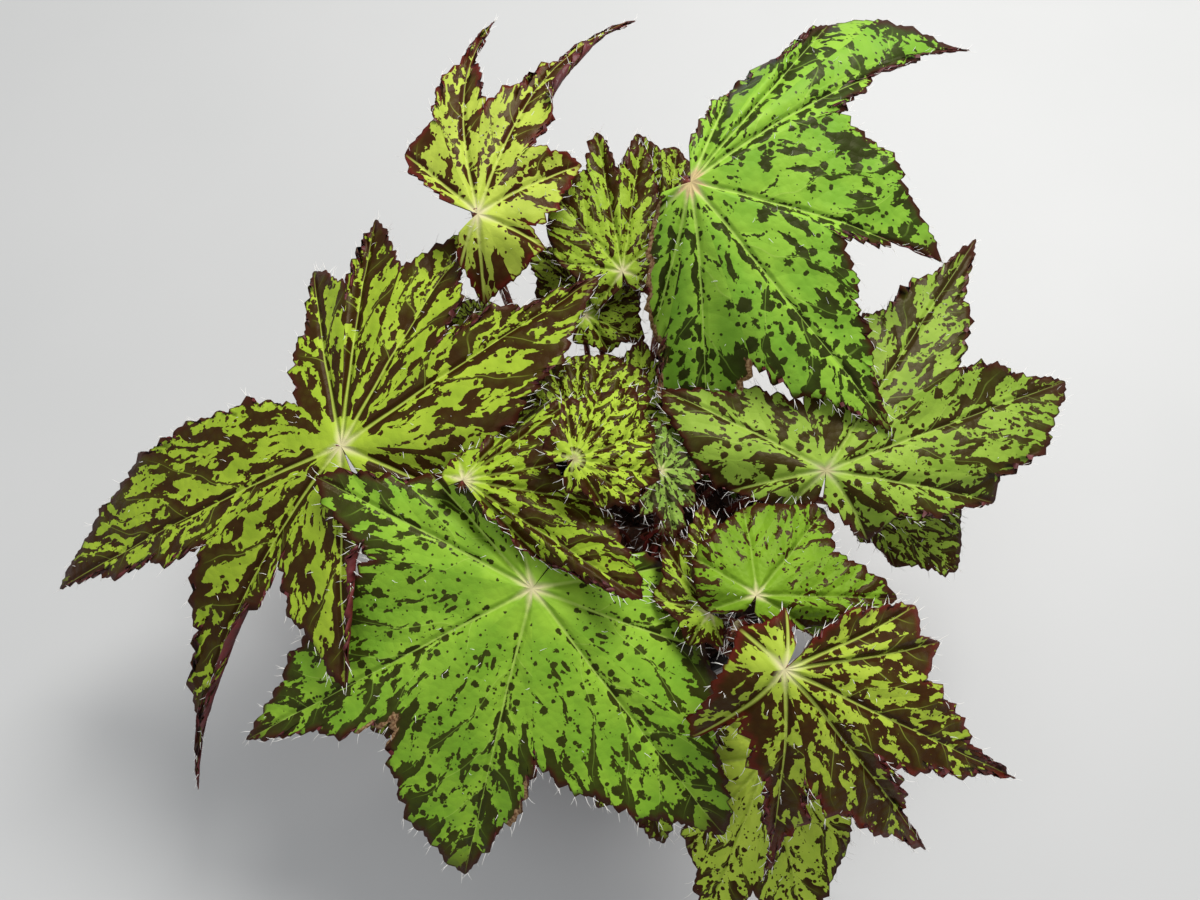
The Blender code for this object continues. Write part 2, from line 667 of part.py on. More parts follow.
def make_pot(collection, helpers):
    band_foot = POT_HEIGHT - POT_BAND_HEIGHT
    lip = 1.2
    profile = (
        (pot_radius(POT_FLOOR) - POT_WALL, POT_FLOOR),
        (pot_radius(POT_HEIGHT) - POT_WALL, POT_HEIGHT - lip),
        (pot_radius(POT_HEIGHT) - POT_WALL + lip, POT_HEIGHT),
        (POT_RIM_RADIUS - lip, POT_HEIGHT),
        (POT_RIM_RADIUS, POT_HEIGHT - lip),
        (POT_RIM_RADIUS - 0.8, band_foot + 1),
        (POT_RIM_RADIUS - 1.6, band_foot),
        (pot_radius(band_foot), band_foot - 1),
        (pot_radius(2), 2),
        (POT_FOOT_RADIUS - 1.5, 0),
        (0, 0),
    )
    pot = turned("pot", ((0, POT_FLOOR), *profile), POT_STEPS, collection, "pot_plastic")
    bm = bmesh.new()
    for index in range(DRAIN_COUNT):
        turn = Matrix.Rotation(math.tau * index / DRAIN_COUNT, 4, "Z")
        bmesh.ops.create_cone(
            bm, cap_ends=True, segments=DRAIN_SIDES, depth=4 * POT_FLOOR * MM,
            radius1=DRAIN_RADIUS * MM, radius2=DRAIN_RADIUS * MM,
            matrix=turn @ Matrix.Translation((DRAIN_RING * MM, 0, 0)),
        )
    mesh = bpy.data.meshes.new("drain_holes")
    bm.to_mesh(mesh)
    bm.free()
    drains = add_object("drain_holes", mesh, helpers, None)
    make_helper(drains)
    cut(pot, drains)
    return pot


def make_soil(collection, holes, trough):
    foot = POT_FLOOR + GAP
    side = POT_WALL + GAP
    profile = (
        (0, SOIL_TOP + SOIL_DOME),
        (20, SOIL_TOP + SOIL_DOME * 0.85),
        (40, SOIL_TOP + SOIL_DOME * 0.4),
        (pot_radius(SOIL_TOP) - side - 1, SOIL_TOP),
        (pot_radius(SOIL_TOP - 1.5) - side, SOIL_TOP - 1.5),
        (pot_radius(foot) - side, foot),
        (0, foot),
    )
    soil = turned("soil", profile, SOIL_STEPS, collection, "soil")
    cut(soil, trough)
    cut(soil, holes)
    return soil


def stem_tube(name, extra, collection, material):
    """The creeping stem, with this much added to its radius."""
    points = [(x, y, SOIL_TOP + STEM_RISE) for x, y in STEM_POINTS]
    first, last = Vector(points[0]), Vector(points[-1])
    reach = Vector((extra, 0, 0))
    path = through([first - reach, *points[1:-1], last + reach], STEM_STEPS)
    radii = [point.x for point in through([(radius + extra, 0, 0) for radius in STEM_RADII], STEM_STEPS)]
    return tube(name, path, radii, 2, collection, material)


def make_plant():
    parts = new_collection("potted_begonia")
    helpers = new_collection("potted_begonia_helpers")
    holes = make_holes(helpers)
    trough = stem_tube("stem_trough", GAP, helpers, None)
    make_helper(trough)
    make_pot(parts, helpers)
    make_soil(parts, holes, trough)
    stem = stem_tube("creeping_stem", 0, parts, "creeping_stem")
    cut(stem, holes)
    for name, leaf in LEAVES.items():
        make_leaf(name, leaf, parts, helpers)
    for thing in parts.objects:
        smooth(thing.data)


clear_scene()
make_plant()
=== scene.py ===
# Potted begonia: the looks of the plant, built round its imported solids.
# Shapes are measured in millimetres and turned into metres where a mesh is made.

import math
import random
from bisect import bisect
from collections import namedtuple

import bmesh
import bpy
from mathutils import Matrix, Vector, noise
from mathutils.kdtree import KDTree


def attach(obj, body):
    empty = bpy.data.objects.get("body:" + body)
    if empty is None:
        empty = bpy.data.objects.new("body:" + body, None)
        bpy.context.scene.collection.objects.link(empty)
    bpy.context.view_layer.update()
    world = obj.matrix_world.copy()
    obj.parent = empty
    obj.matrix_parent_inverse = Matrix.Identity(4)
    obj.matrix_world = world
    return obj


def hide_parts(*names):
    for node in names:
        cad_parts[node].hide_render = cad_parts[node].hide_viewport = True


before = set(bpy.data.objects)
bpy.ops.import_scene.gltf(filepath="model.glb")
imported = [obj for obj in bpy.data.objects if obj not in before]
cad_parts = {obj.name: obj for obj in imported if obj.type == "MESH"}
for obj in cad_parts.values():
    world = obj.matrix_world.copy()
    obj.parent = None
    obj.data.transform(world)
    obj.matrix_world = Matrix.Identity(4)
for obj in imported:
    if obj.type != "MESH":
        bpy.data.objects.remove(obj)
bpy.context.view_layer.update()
print("frame loaded:", len(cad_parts), "solids")

mm = 0.001
soilTop = 97  # height of the soil's rim
shrink = 443 / 540  # the table of leaves is drawn 540 wide and grows 443 wide

# The camera and the light come first

cameraPlace = {
    "eye": (-21.7, -129.8, 482.7), "target": (-21.7, 10.7, 181.5), "lens": 27.0, "sensor": 36,
}


def addObject(name, data):
    made = bpy.data.objects.new(name, data)
    bpy.context.scene.collection.objects.link(made)
    return made


def aim(made, place, target):
    made.location = place
    made.rotation_euler = (Vector(target) - Vector(place)).to_track_quat("-Z", "Y").to_euler()


def makeCamera(values):
    data = bpy.data.cameras.new("camera")
    data.lens = values["lens"]
    data.sensor_width = values["sensor"]
    data.clip_start = 0.01
    camera = addObject("camera", data)
    aim(camera, Vector(values["eye"]) * mm, Vector(values["target"]) * mm)
    bpy.context.scene.camera = camera


lightPlan = {
    "world": ((0.95, 0.97, 1.0), 0.40),
    "lamps": (  # name, place in metres, size, power in watts, tint
        ("window_light", (0.55, 0.85, 1.5), 0.8, 31, (1.0, 0.99, 0.97)),
        ("room_light", (-0.7, -0.5, 1.6), 1.2, 6, (0.96, 0.98, 1.0)),
    ),
    "target": (-0.02, 0.0, 0.12),
}


def makeLight(values):
    world = bpy.data.worlds.new("soft_room")
    world.use_nodes = True
    back = world.node_tree.nodes["Background"]
    tint, strength = values["world"]
    back.inputs["Color"].default_value = (*tint, 1)
    back.inputs["Strength"].default_value = strength
    bpy.context.scene.world = world
    for name, place, size, power, tint in values["lamps"]:
        data = bpy.data.lights.new(name, "AREA")
        data.shape = "DISK"
        data.size = size
        data.energy = power
        data.color = tint
        aim(addObject(name, data), place, values["target"])


makeCamera(cameraPlace)
makeLight(lightPlan)
bpy.context.scene.view_settings.view_transform = "Standard"
print("camera and light placed")

# Small helpers for nodes. A value is a number, a vector or another node's socket.


def feed(tree, socket, value):
    if isinstance(value, bpy.types.NodeSocket):
        tree.links.new(value, socket)
    else:
        socket.default_value = value


def addNode(tree, kind, inputs=None, **settings):
    node = tree.nodes.new(kind)
    for key, value in settings.items():
        setattr(node, key, value)
    for key, value in (inputs or {}).items():
        feed(tree, node.inputs[key], value)
    return node


def calc(tree, operation, *values, clamp=False):
    node = addNode(tree, "ShaderNodeMath", operation=operation, use_clamp=clamp)
    for socket, value in zip(node.inputs, values):
        feed(tree, socket, value)
    return node.outputs[0]


def step(tree, value, low, high, start=0.0, end=1.0):
    inputs = {"Value": value, "From Min": low, "From Max": high, "To Min": start, "To Max": end}
    return addNode(tree, "ShaderNodeMapRange", inputs, interpolation_type="SMOOTHSTEP").outputs[0]


def hugging(tree, distance, near, far, amount):
    # the amount where the distance is less than near, and nothing beyond far
    return calc(tree, "MULTIPLY", calc(tree, "SUBTRACT", 1.0, step(tree, distance, near, far)), amount)


def mixColour(tree, share, first, second):
    node = addNode(tree, "ShaderNodeMix", data_type="RGBA")
    for index, value in ((0, share), (6, first), (7, second)):
        feed(tree, node.inputs[index], (*value, 1) if isinstance(value, tuple) else value)
    return node.outputs[2]


def combine(tree, x, y, z):
    return addNode(tree, "ShaderNodeCombineXYZ", {0: x, 1: y, 2: z}).outputs[0]


def separate(tree, vector):
    return addNode(tree, "ShaderNodeSeparateXYZ", {0: vector}).outputs


def enlarge(tree, vector, scale):
    inputs = {0: vector, "Scale": scale}
    return addNode(tree, "ShaderNodeVectorMath", inputs, operation="SCALE").outputs[0]


def fineNoise(tree, vector, scale, detail=3, roughness=0.5):
    inputs = {"Vector": vector, "Scale": scale, "Detail": detail, "Roughness": roughness}
    return addNode(tree, "ShaderNodeTexNoise", inputs).outputs["Fac"]


def patches(tree, vector, scale, low, high, detail=3, roughness=0.5):
    # a noise that is cut off below the low level and above the high one
    return step(tree, fineNoise(tree, vector, scale, detail, roughness), low, high)


def objectPlace(tree):
    return addNode(tree, "ShaderNodeTexCoord").outputs["Object"]


def ownMap(tree, name):
    return addNode(tree, "ShaderNodeUVMap", uv_map=name).outputs[0]


def finish(tree, shader, colour, height=None, distance=0, strength=0):
    # gives the shader its colour, and a bump from this height, whose distance is in metres
    feed(tree, shader.inputs["Base Color"], colour)
    if height:
        inputs = {"Height": height, "Distance": distance, "Strength": strength}
        feed(tree, shader.inputs["Normal"], addNode(tree, "ShaderNodeBump", inputs).outputs[0])


def newGroup(name, inputs, outputs):
    # gives the group, its input node's sockets and its output node's
    tree = bpy.data.node_groups.new(name, "ShaderNodeTree")
    for socketName, value in inputs.items():
        kind = "NodeSocketVector" if value is None else "NodeSocketFloat"
        socket = tree.interface.new_socket(name=socketName, in_out="INPUT", socket_type=kind)
        if value is not None:
            socket.default_value = value
    for socketName in outputs:
        tree.interface.new_socket(name=socketName, in_out="OUTPUT", socket_type="NodeSocketFloat")
    return tree, tree.nodes.new("NodeGroupInput").outputs, tree.nodes.new("NodeGroupOutput").inputs


def placeGroup(tree, group, inputs):
    return addNode(tree, "ShaderNodeGroup", inputs, node_tree=group).outputs


def newMaterial(name, roughness):
    material = bpy.data.materials.new(name)
    material.use_nodes = True
    shader = material.node_tree.nodes["Principled BSDF"]
    shader.inputs["Roughness"].default_value = roughness
    return material, material.node_tree, shader


# The leaf's pattern: veins run from the hub to each lobe's tip and fork off
# sideways, and dark blotches lie along them. Lobe is the place in centimetres
# along and beside the lobe's midrib, and Edge holds the distances in centimetres
# to the margin and to the hub. Scale draws the markings closer together, and the
# lengths below are for a Scale of 1.

patternInputs = {  # None is a vector
    "Lobe": None, "Edge": None, "Spacing": 2.0, "Blotches": 0.0, "Margin": 0.15, "Dots": 0.3,
    "Spots": 0.1, "Clear": 1.5, "Veins": 1.0, "Ribs": 0.14, "Seed": 0.0, "Scale": 1.0,
}
patternPlan = {
    "ribWidth": (0.085, 0.0090, 0.024),  # half width at the hub, loss per centimetre, least
    "flare": (0.075, -0.9),  # extra width by the hub, and how soon it goes
    "forkWidth": (0.034, 0.008, 0.013),  # as for the midrib, but by the distance from it
    "sideVein": 0.55,  # how pale beside the midrib
    "slant": 1.35,  # centimetres that a fork runs on for each one off the midrib
    "stagger": 0.23,  # how far each side's forks are shifted, as a share of their spacing
    "square": 0.6,  # turns a distance along the midrib into one square to a fork
    "forkStart": (0.55, 0.9), "forkEnd": (0.1, 0.9),  # in spacings, and centimetres from the margin
    "bend": (1.1, 0.7),  # scale and amount of the blotches' wandering
    "sway": (0.4, 0.12, 1.4),  # scale of the veins' sway, its amount in midribs and in forks
    "blotch": (0.9, 1.35, 3.7),  # how fine from fork to fork and off the midrib, shift of a side
    "strip": (0.75, 1.7),  # how fine along and beside the midrib, for the blotches on it
    "blotchNoise": (1.2, 3, 0.55), "stripNoise": (1.2, 2, 0.5), "raggedNoise": (5.2, 3, 0.6),
    "blotchLevel": 0.60, "ribLevel": 0.63,  # higher leaves fewer blotches
    "sharp": (-0.008, 0.012), "spotSharp": (-0.01, 0.04),  # the levels where an edge fades
    "clearDepth": 0.22, "torn": 0.20, "outer": 0.02,  # fewer by the hub, ragged, more far out
    "forkHug": (0.05, 0.45, 0.09), "ribHug": (0.10, 0.50),  # near, far and by how much
    "rim": (-1.7, 1.15, 1.7),  # how soon the dark margin ends, and how the forks cut into it
    "spots": (  # size, scale, the input that sets their share, how torn they are
        (0.42, 1.5, "Spots", 0.55), (0.36, 2.1, "Spots", 0.45),
        (0.30, 2.9, "Dots", 0.3), (0.27, 4.8, "Dots", 0.25),
    ),
    "spotSize": (0.4, 0.7),  # least, and how much more by chance
    "shown": (2.0, 8.0, 0.95, 0.6),  # how clear of blotches the veins stay, from near to far
    "star": (3.0, 0.15, 1.25),  # how its rays narrow, its core and its reach
    "quilt": 1.6, "groove": 0.22, "cells": (3.2, -0.45), "grain": (22, 0.14), "cloud": 0.7,
}


def makeLeafPattern(plan):
    outputs = ("Vein", "Blotch", "Star", "Height", "Cloud")
    tree, get, made = newGroup("leaf_pattern", patternInputs, outputs)

    def add(first, *others):
        for other in others:
            first = calc(tree, "ADD", first, other)
        return first

    def times(first, *others):
        for other in others:
            first = calc(tree, "MULTIPLY", first, other)
        return first

    def less(first, second):
        return calc(tree, "SUBTRACT", first, second)

    def part(first, second):
        return calc(tree, "DIVIDE", first, second)

    def without(share):
        return less(1.0, share)

    def half(distance, atHub, loss, least):
        return calc(tree, "MAXIMUM", less(atHub, times(distance, loss)), least)

    scale, seed, spacing = get["Scale"], get["Seed"], get["Spacing"]
    along, beside, _ = separate(tree, get["Lobe"])
    toEdge, toHub, _ = separate(tree, get["Edge"])
    off = calc(tree, "ABSOLUTE", beside)
    side = calc(tree, "SIGN", beside)
    flat = combine(tree, along, beside, seed)
    scaled = enlarge(tree, flat, scale)
    bendScale, bend = plan["bend"]
    bent = times(less(fineNoise(tree, scaled, bendScale, 1), 0.5), bend)
    swayScale, ribSway, forkSway = plan["sway"]
    sway = less(fineNoise(tree, scaled, swayScale, 1), 0.5)
    rib = calc(tree, "ABSOLUTE", add(beside, times(sway, ribSway)))

    # forks: one value along each side vein, set apart on the two sides of the midrib
    fork = add(
        less(along, times(off, plan["slant"])),
        times(times(sway, spacing), forkSway),
        times(side, times(spacing, plan["stagger"])),
    )
    turn = part(fork, spacing)
    away = calc(tree, "ABSOLUTE", less(calc(tree, "FRACT", turn), 0.5))
    toFork = times(away, spacing, plan["square"])
    grown = step(tree, turn, *plan["forkStart"])  # no side veins close to the hub
    flare, flareEnd = plan["flare"]
    flare = times(calc(tree, "EXPONENT", times(toHub, flareEnd)), flare)
    ribWidth = add(half(toHub, *plan["ribWidth"]), flare)
    midrib = without(step(tree, part(rib, part(ribWidth, scale)), 0.3, 1.0))
    forkWidth = part(half(off, *plan["forkWidth"]), scale)
    sideVein = without(step(tree, part(toFork, forkWidth), 0.25, 1.0))
    sideVein = times(sideVein, grown, step(tree, toEdge, *plan["forkEnd"]))
    vein = times(calc(tree, "MAXIMUM", midrib, times(sideVein, plan["sideVein"])), get["Veins"])
    feed(tree, made["Vein"], vein)

    # blotches, drawn out along the side veins and crowding to the veins and the margin
    near = times(toHub, scale)
    clear = times(without(step(tree, part(near, get["Clear"]), 0.2, 1.0)), plan["clearDepth"])
    forkStretch, offStretch, apart = plan["blotch"]
    across = less(times(off, offStretch), bent)
    shape = combine(tree, add(times(fork, forkStretch), bent), across, add(seed, times(side, apart)))
    level = fineNoise(tree, enlarge(tree, shape, scale), *plan["blotchNoise"])
    level = less(level, plan["blotchLevel"])
    rimEnd, rimDepth, rimCut = plan["rim"]
    rim = times(calc(tree, "EXPONENT", times(toEdge, scale, rimEnd)), get["Margin"])
    rim = times(rim, less(rimDepth, times(away, rimCut)))
    outer = step(tree, near, 2.0, 8.0, 0.0, plan["outer"])
    level = add(add(level, hugging(tree, times(toFork, scale), *plan["forkHug"])), add(rim, outer))
    alongStretch, besideStretch = plan["strip"]
    across = times(beside, besideStretch)
    strip = combine(tree, times(along, alongStretch), across, add(seed, 9.0))
    ribLevel = fineNoise(tree, enlarge(tree, strip, scale), *plan["stripNoise"])
    ribLevel = less(ribLevel, plan["ribLevel"])
    ribLevel = add(ribLevel, hugging(tree, times(rib, scale), *plan["ribHug"], get["Ribs"]))
    ragged = less(fineNoise(tree, scaled, *plan["raggedNoise"]), 0.5)
    level = add(calc(tree, "MAXIMUM", level, ribLevel), times(ragged, plan["torn"]))
    level = less(add(level, get["Blotches"]), clear)
    blotch = step(tree, level, *plan["sharp"])
    least, more = plan["spotSize"]
    for size, spotScale, share, torn in plan["spots"]:
        inputs = {"Vector": scaled, "Scale": spotScale, "Randomness": 1.0}
        spots = addNode(tree, "ShaderNodeTexVoronoi", inputs).outputs
        chance = addNode(tree, "ShaderNodeSeparateColor", {0: spots["Color"]}).outputs
        radius = add(times(chance[1], size * more), size * least)
        picked = calc(tree, "GREATER_THAN", add(chance[0], get[share]), 1.0)
        radius = times(less(radius, times(clear, 0.9)), picked)
        reach = add(spots["Distance"], times(ragged, torn))
        spot = step(tree, less(radius, reach), *plan["spotSharp"])
        blotch = calc(tree, "MAXIMUM", blotch, spot)
    shown = step(tree, near, *plan["shown"])
    feed(tree, made["Blotch"], times(blotch, without(times(vein, shown))))

    # the pale star where the veins meet
    narrow, core, starReach = plan["star"]
    reach = add(toHub, times(rib, narrow))
    feed(tree, made["Star"], without(step(tree, times(reach, scale), core, starReach)))

    # relief: the veins sink in and the blade rises between them
    quilt = times(less(0.25, away), times(grown, plan["quilt"]))
    groove = times(without(step(tree, rib, 0.0, plan["groove"])), -1.0)
    cellScale, cellDepth = plan["cells"]
    cells = addNode(tree, "ShaderNodeTexVoronoi", {"Vector": scaled, "Scale": cellScale})
    cells = cells.outputs["Distance"]
    grainScale, grainHeight = plan["grain"]
    grain = times(fineNoise(tree, flat, grainScale, 2), grainHeight)
    feed(tree, made["Height"], add(add(quilt, groove), add(grain, times(cells, cellDepth))))
    feed(tree, made["Cloud"], fineNoise(tree, scaled, plan["cloud"]))
    return tree


leafPattern = makeLeafPattern(patternPlan)

# How each leaf is marked: the greens of its light and deep parts, its blotches and
# margin, and the star at its hub. Blotches is added to the pattern's level, margin
# darkens the edge, dots and spots are shares of the cells that hold one, clear is
# the radius round the hub with few marks, and veins and ribs make the veins paler
# and darken what lies along them.

markDefaults = {
    "light": (0.33, 0.48, 0.040), "deep": (0.24, 0.37, 0.026), "dark": (0.034, 0.014, 0.002),
    "edge": (0.045, 0.010, 0.005), "blotches": 0.0, "margin": 0.15, "dots": 0.36, "spots": 0.22,
    "clear": 1.3, "veins": 0.45, "ribs": 0.08,
    "star": (0.58, 0.57, 0.26), "scar": (0.62, 0.55, 0.32), "scarSize": 1.0,
}
leafMarks = {
    "front_broad": {
        "light": (0.26, 0.46, 0.035), "deep": (0.17, 0.35, 0.024), "dark": (0.030, 0.034, 0.004),
        "blotches": -0.052, "margin": 0.32, "dots": 0.45, "spots": 0.34, "clear": 2.8,
        "veins": 1.0, "ribs": 0.14,
    },
    "left_long": {
        "light": (0.36, 0.49, 0.036), "deep": (0.26, 0.38, 0.024), "blotches": 0.025,
        "margin": 0.12, "spots": 0.1, "clear": 1.5, "veins": 0.9, "ribs": 0.14,
    },
    "back_right_large": {
        "light": (0.28, 0.50, 0.046), "deep": (0.17, 0.37, 0.030), "dark": (0.026, 0.034, 0.005),
        "blotches": -0.042, "dots": 0.44, "spots": 0.52, "clear": 1.2, "veins": 1.0, "ribs": 0.14,
        "scar": (0.58, 0.45, 0.22), "scarSize": 1.6,
    },
    "back_left": {
        "light": (0.45, 0.55, 0.070), "deep": (0.33, 0.42, 0.045), "dark": (0.044, 0.013, 0.003),
        "edge": (0.10, 0.010, 0.007), "spots": 0.1, "clear": 1.5, "veins": 0.9, "ribs": 0.14,
    },
    "front_right_star": {
        "light": (0.36, 0.47, 0.045), "deep": (0.27, 0.37, 0.030), "dark": (0.036, 0.013, 0.002),
        "edge": (0.09, 0.010, 0.006), "blotches": 0.035, "margin": 0.12, "spots": 0.15,
        "clear": 0.9, "veins": 0.9, "ribs": 0.14,
    },
    "right_star": {
        "light": (0.27, 0.41, 0.048), "deep": (0.19, 0.31, 0.030), "dark": (0.032, 0.020, 0.003),
        "blotches": -0.014, "dots": 0.44, "spots": 0.34, "veins": 0.8, "ribs": 0.14,
        # painted shade: right_star's star and scar are dimmed below their own pale colour, for the shade
        # over its hub
        "star": (0.34, 0.40, 0.15), "scar": (0.42, 0.34, 0.19),
    },
    "right_low": {"light": (0.34, 0.50, 0.055), "deep": (0.26, 0.40, 0.036)},
    "centre_young": {
        "light": (0.37, 0.51, 0.040), "deep": (0.29, 0.42, 0.028), "blotches": 0.002,
        "margin": 0.2, "spots": 0.44, "clear": 1.7, "veins": 0.22, "ribs": 0.03,
        "star": (0.42, 0.46, 0.16), "scar": (0.34, 0.27, 0.14),
    },
    "centre_young_behind": {
        "light": (0.35, 0.49, 0.040), "deep": (0.26, 0.39, 0.028), "blotches": -0.01,
        "spots": 0.38, "clear": 1.7, "veins": 0.22, "ribs": 0.03,
    },
    "centre_right": {
        "light": (0.18, 0.33, 0.018), "deep": (0.13, 0.25, 0.012), "blotches": -0.055,
        "margin": 0.26, "dots": 0.46, "spots": 0.2, "clear": 2.6, "veins": 0.5,
    },
    "centre_left": {
        "light": (0.32, 0.46, 0.030), "deep": (0.24, 0.37, 0.022), "blotches": 0.03,
        "spots": 0.34, "clear": 1.7, "veins": 0.4,
    },
    "front_right_low": {
        # front_right_low's greens are its own green raised with painted light, standing in for light that
        # shines through the leaf where it lies in shade
        "light": (0.47, 0.61, 0.065), "deep": (0.37, 0.52, 0.045), "blotches": -0.075,
        "margin": 0.26, "dots": 0.45, "spots": 0.25, "clear": 3.0, "veins": 0.6,
    },
    # painted shade: right_shaded's greens are made far darker than a leaf's own green, for the shade it
    # lies in under its neighbours
    "right_shaded": {"light": (0.08, 0.20, 0.018), "deep": (0.05, 0.13, 0.012), "blotches": -0.08},
    "crown_small": {
        "light": (0.24, 0.38, 0.060), "deep": (0.15, 0.27, 0.040), "dark": (0.036, 0.030, 0.012),
    },
    "young_folded": {"light": (0.30, 0.045, 0.040), "deep": (0.20, 0.026, 0.024), "blotches": -0.02},
    "young_bud": {"light": (0.24, 0.036, 0.028), "deep": (0.16, 0.020, 0.017), "blotches": -0.02},
}
leafSlots = {  # slot names for the leaves that aren't leaf_green
    "young_leaf": ("centre_young", "centre_young_behind", "back_left", "front_right_star", "crown_small"),
    "leaf_maroon": ("young_folded", "young_bud"),
}

# The leaves' shapes. A lobe is a heading in degrees, a reach and a droop, in the
# leaf's own plane. The notch after it is a heading and a reach. A bend turns its
# far end sideways. The swell is how far its two sides bulge, as shares of their
# lengths. A leaf has its hub, where the veins meet; the heading and steepness of
# its lean; its stalk's foot; the ends of the slit that runs to the hub; its stalk's
# radius; the spacing of its large teeth; how far it folds up; the height of its
# ripples; and the points that its stalk passes.

lobe = namedtuple("lobe", "heading reach droop notch bend swell", defaults=(None, 0, (0.02, 0.02)))
leafShape = namedtuple(
    "leafShape",
    "hub lean foot sinus lobes stalk teeth fold ripple via",
    defaults=(1.8, 22, 0.05, 1.2, ()),
)

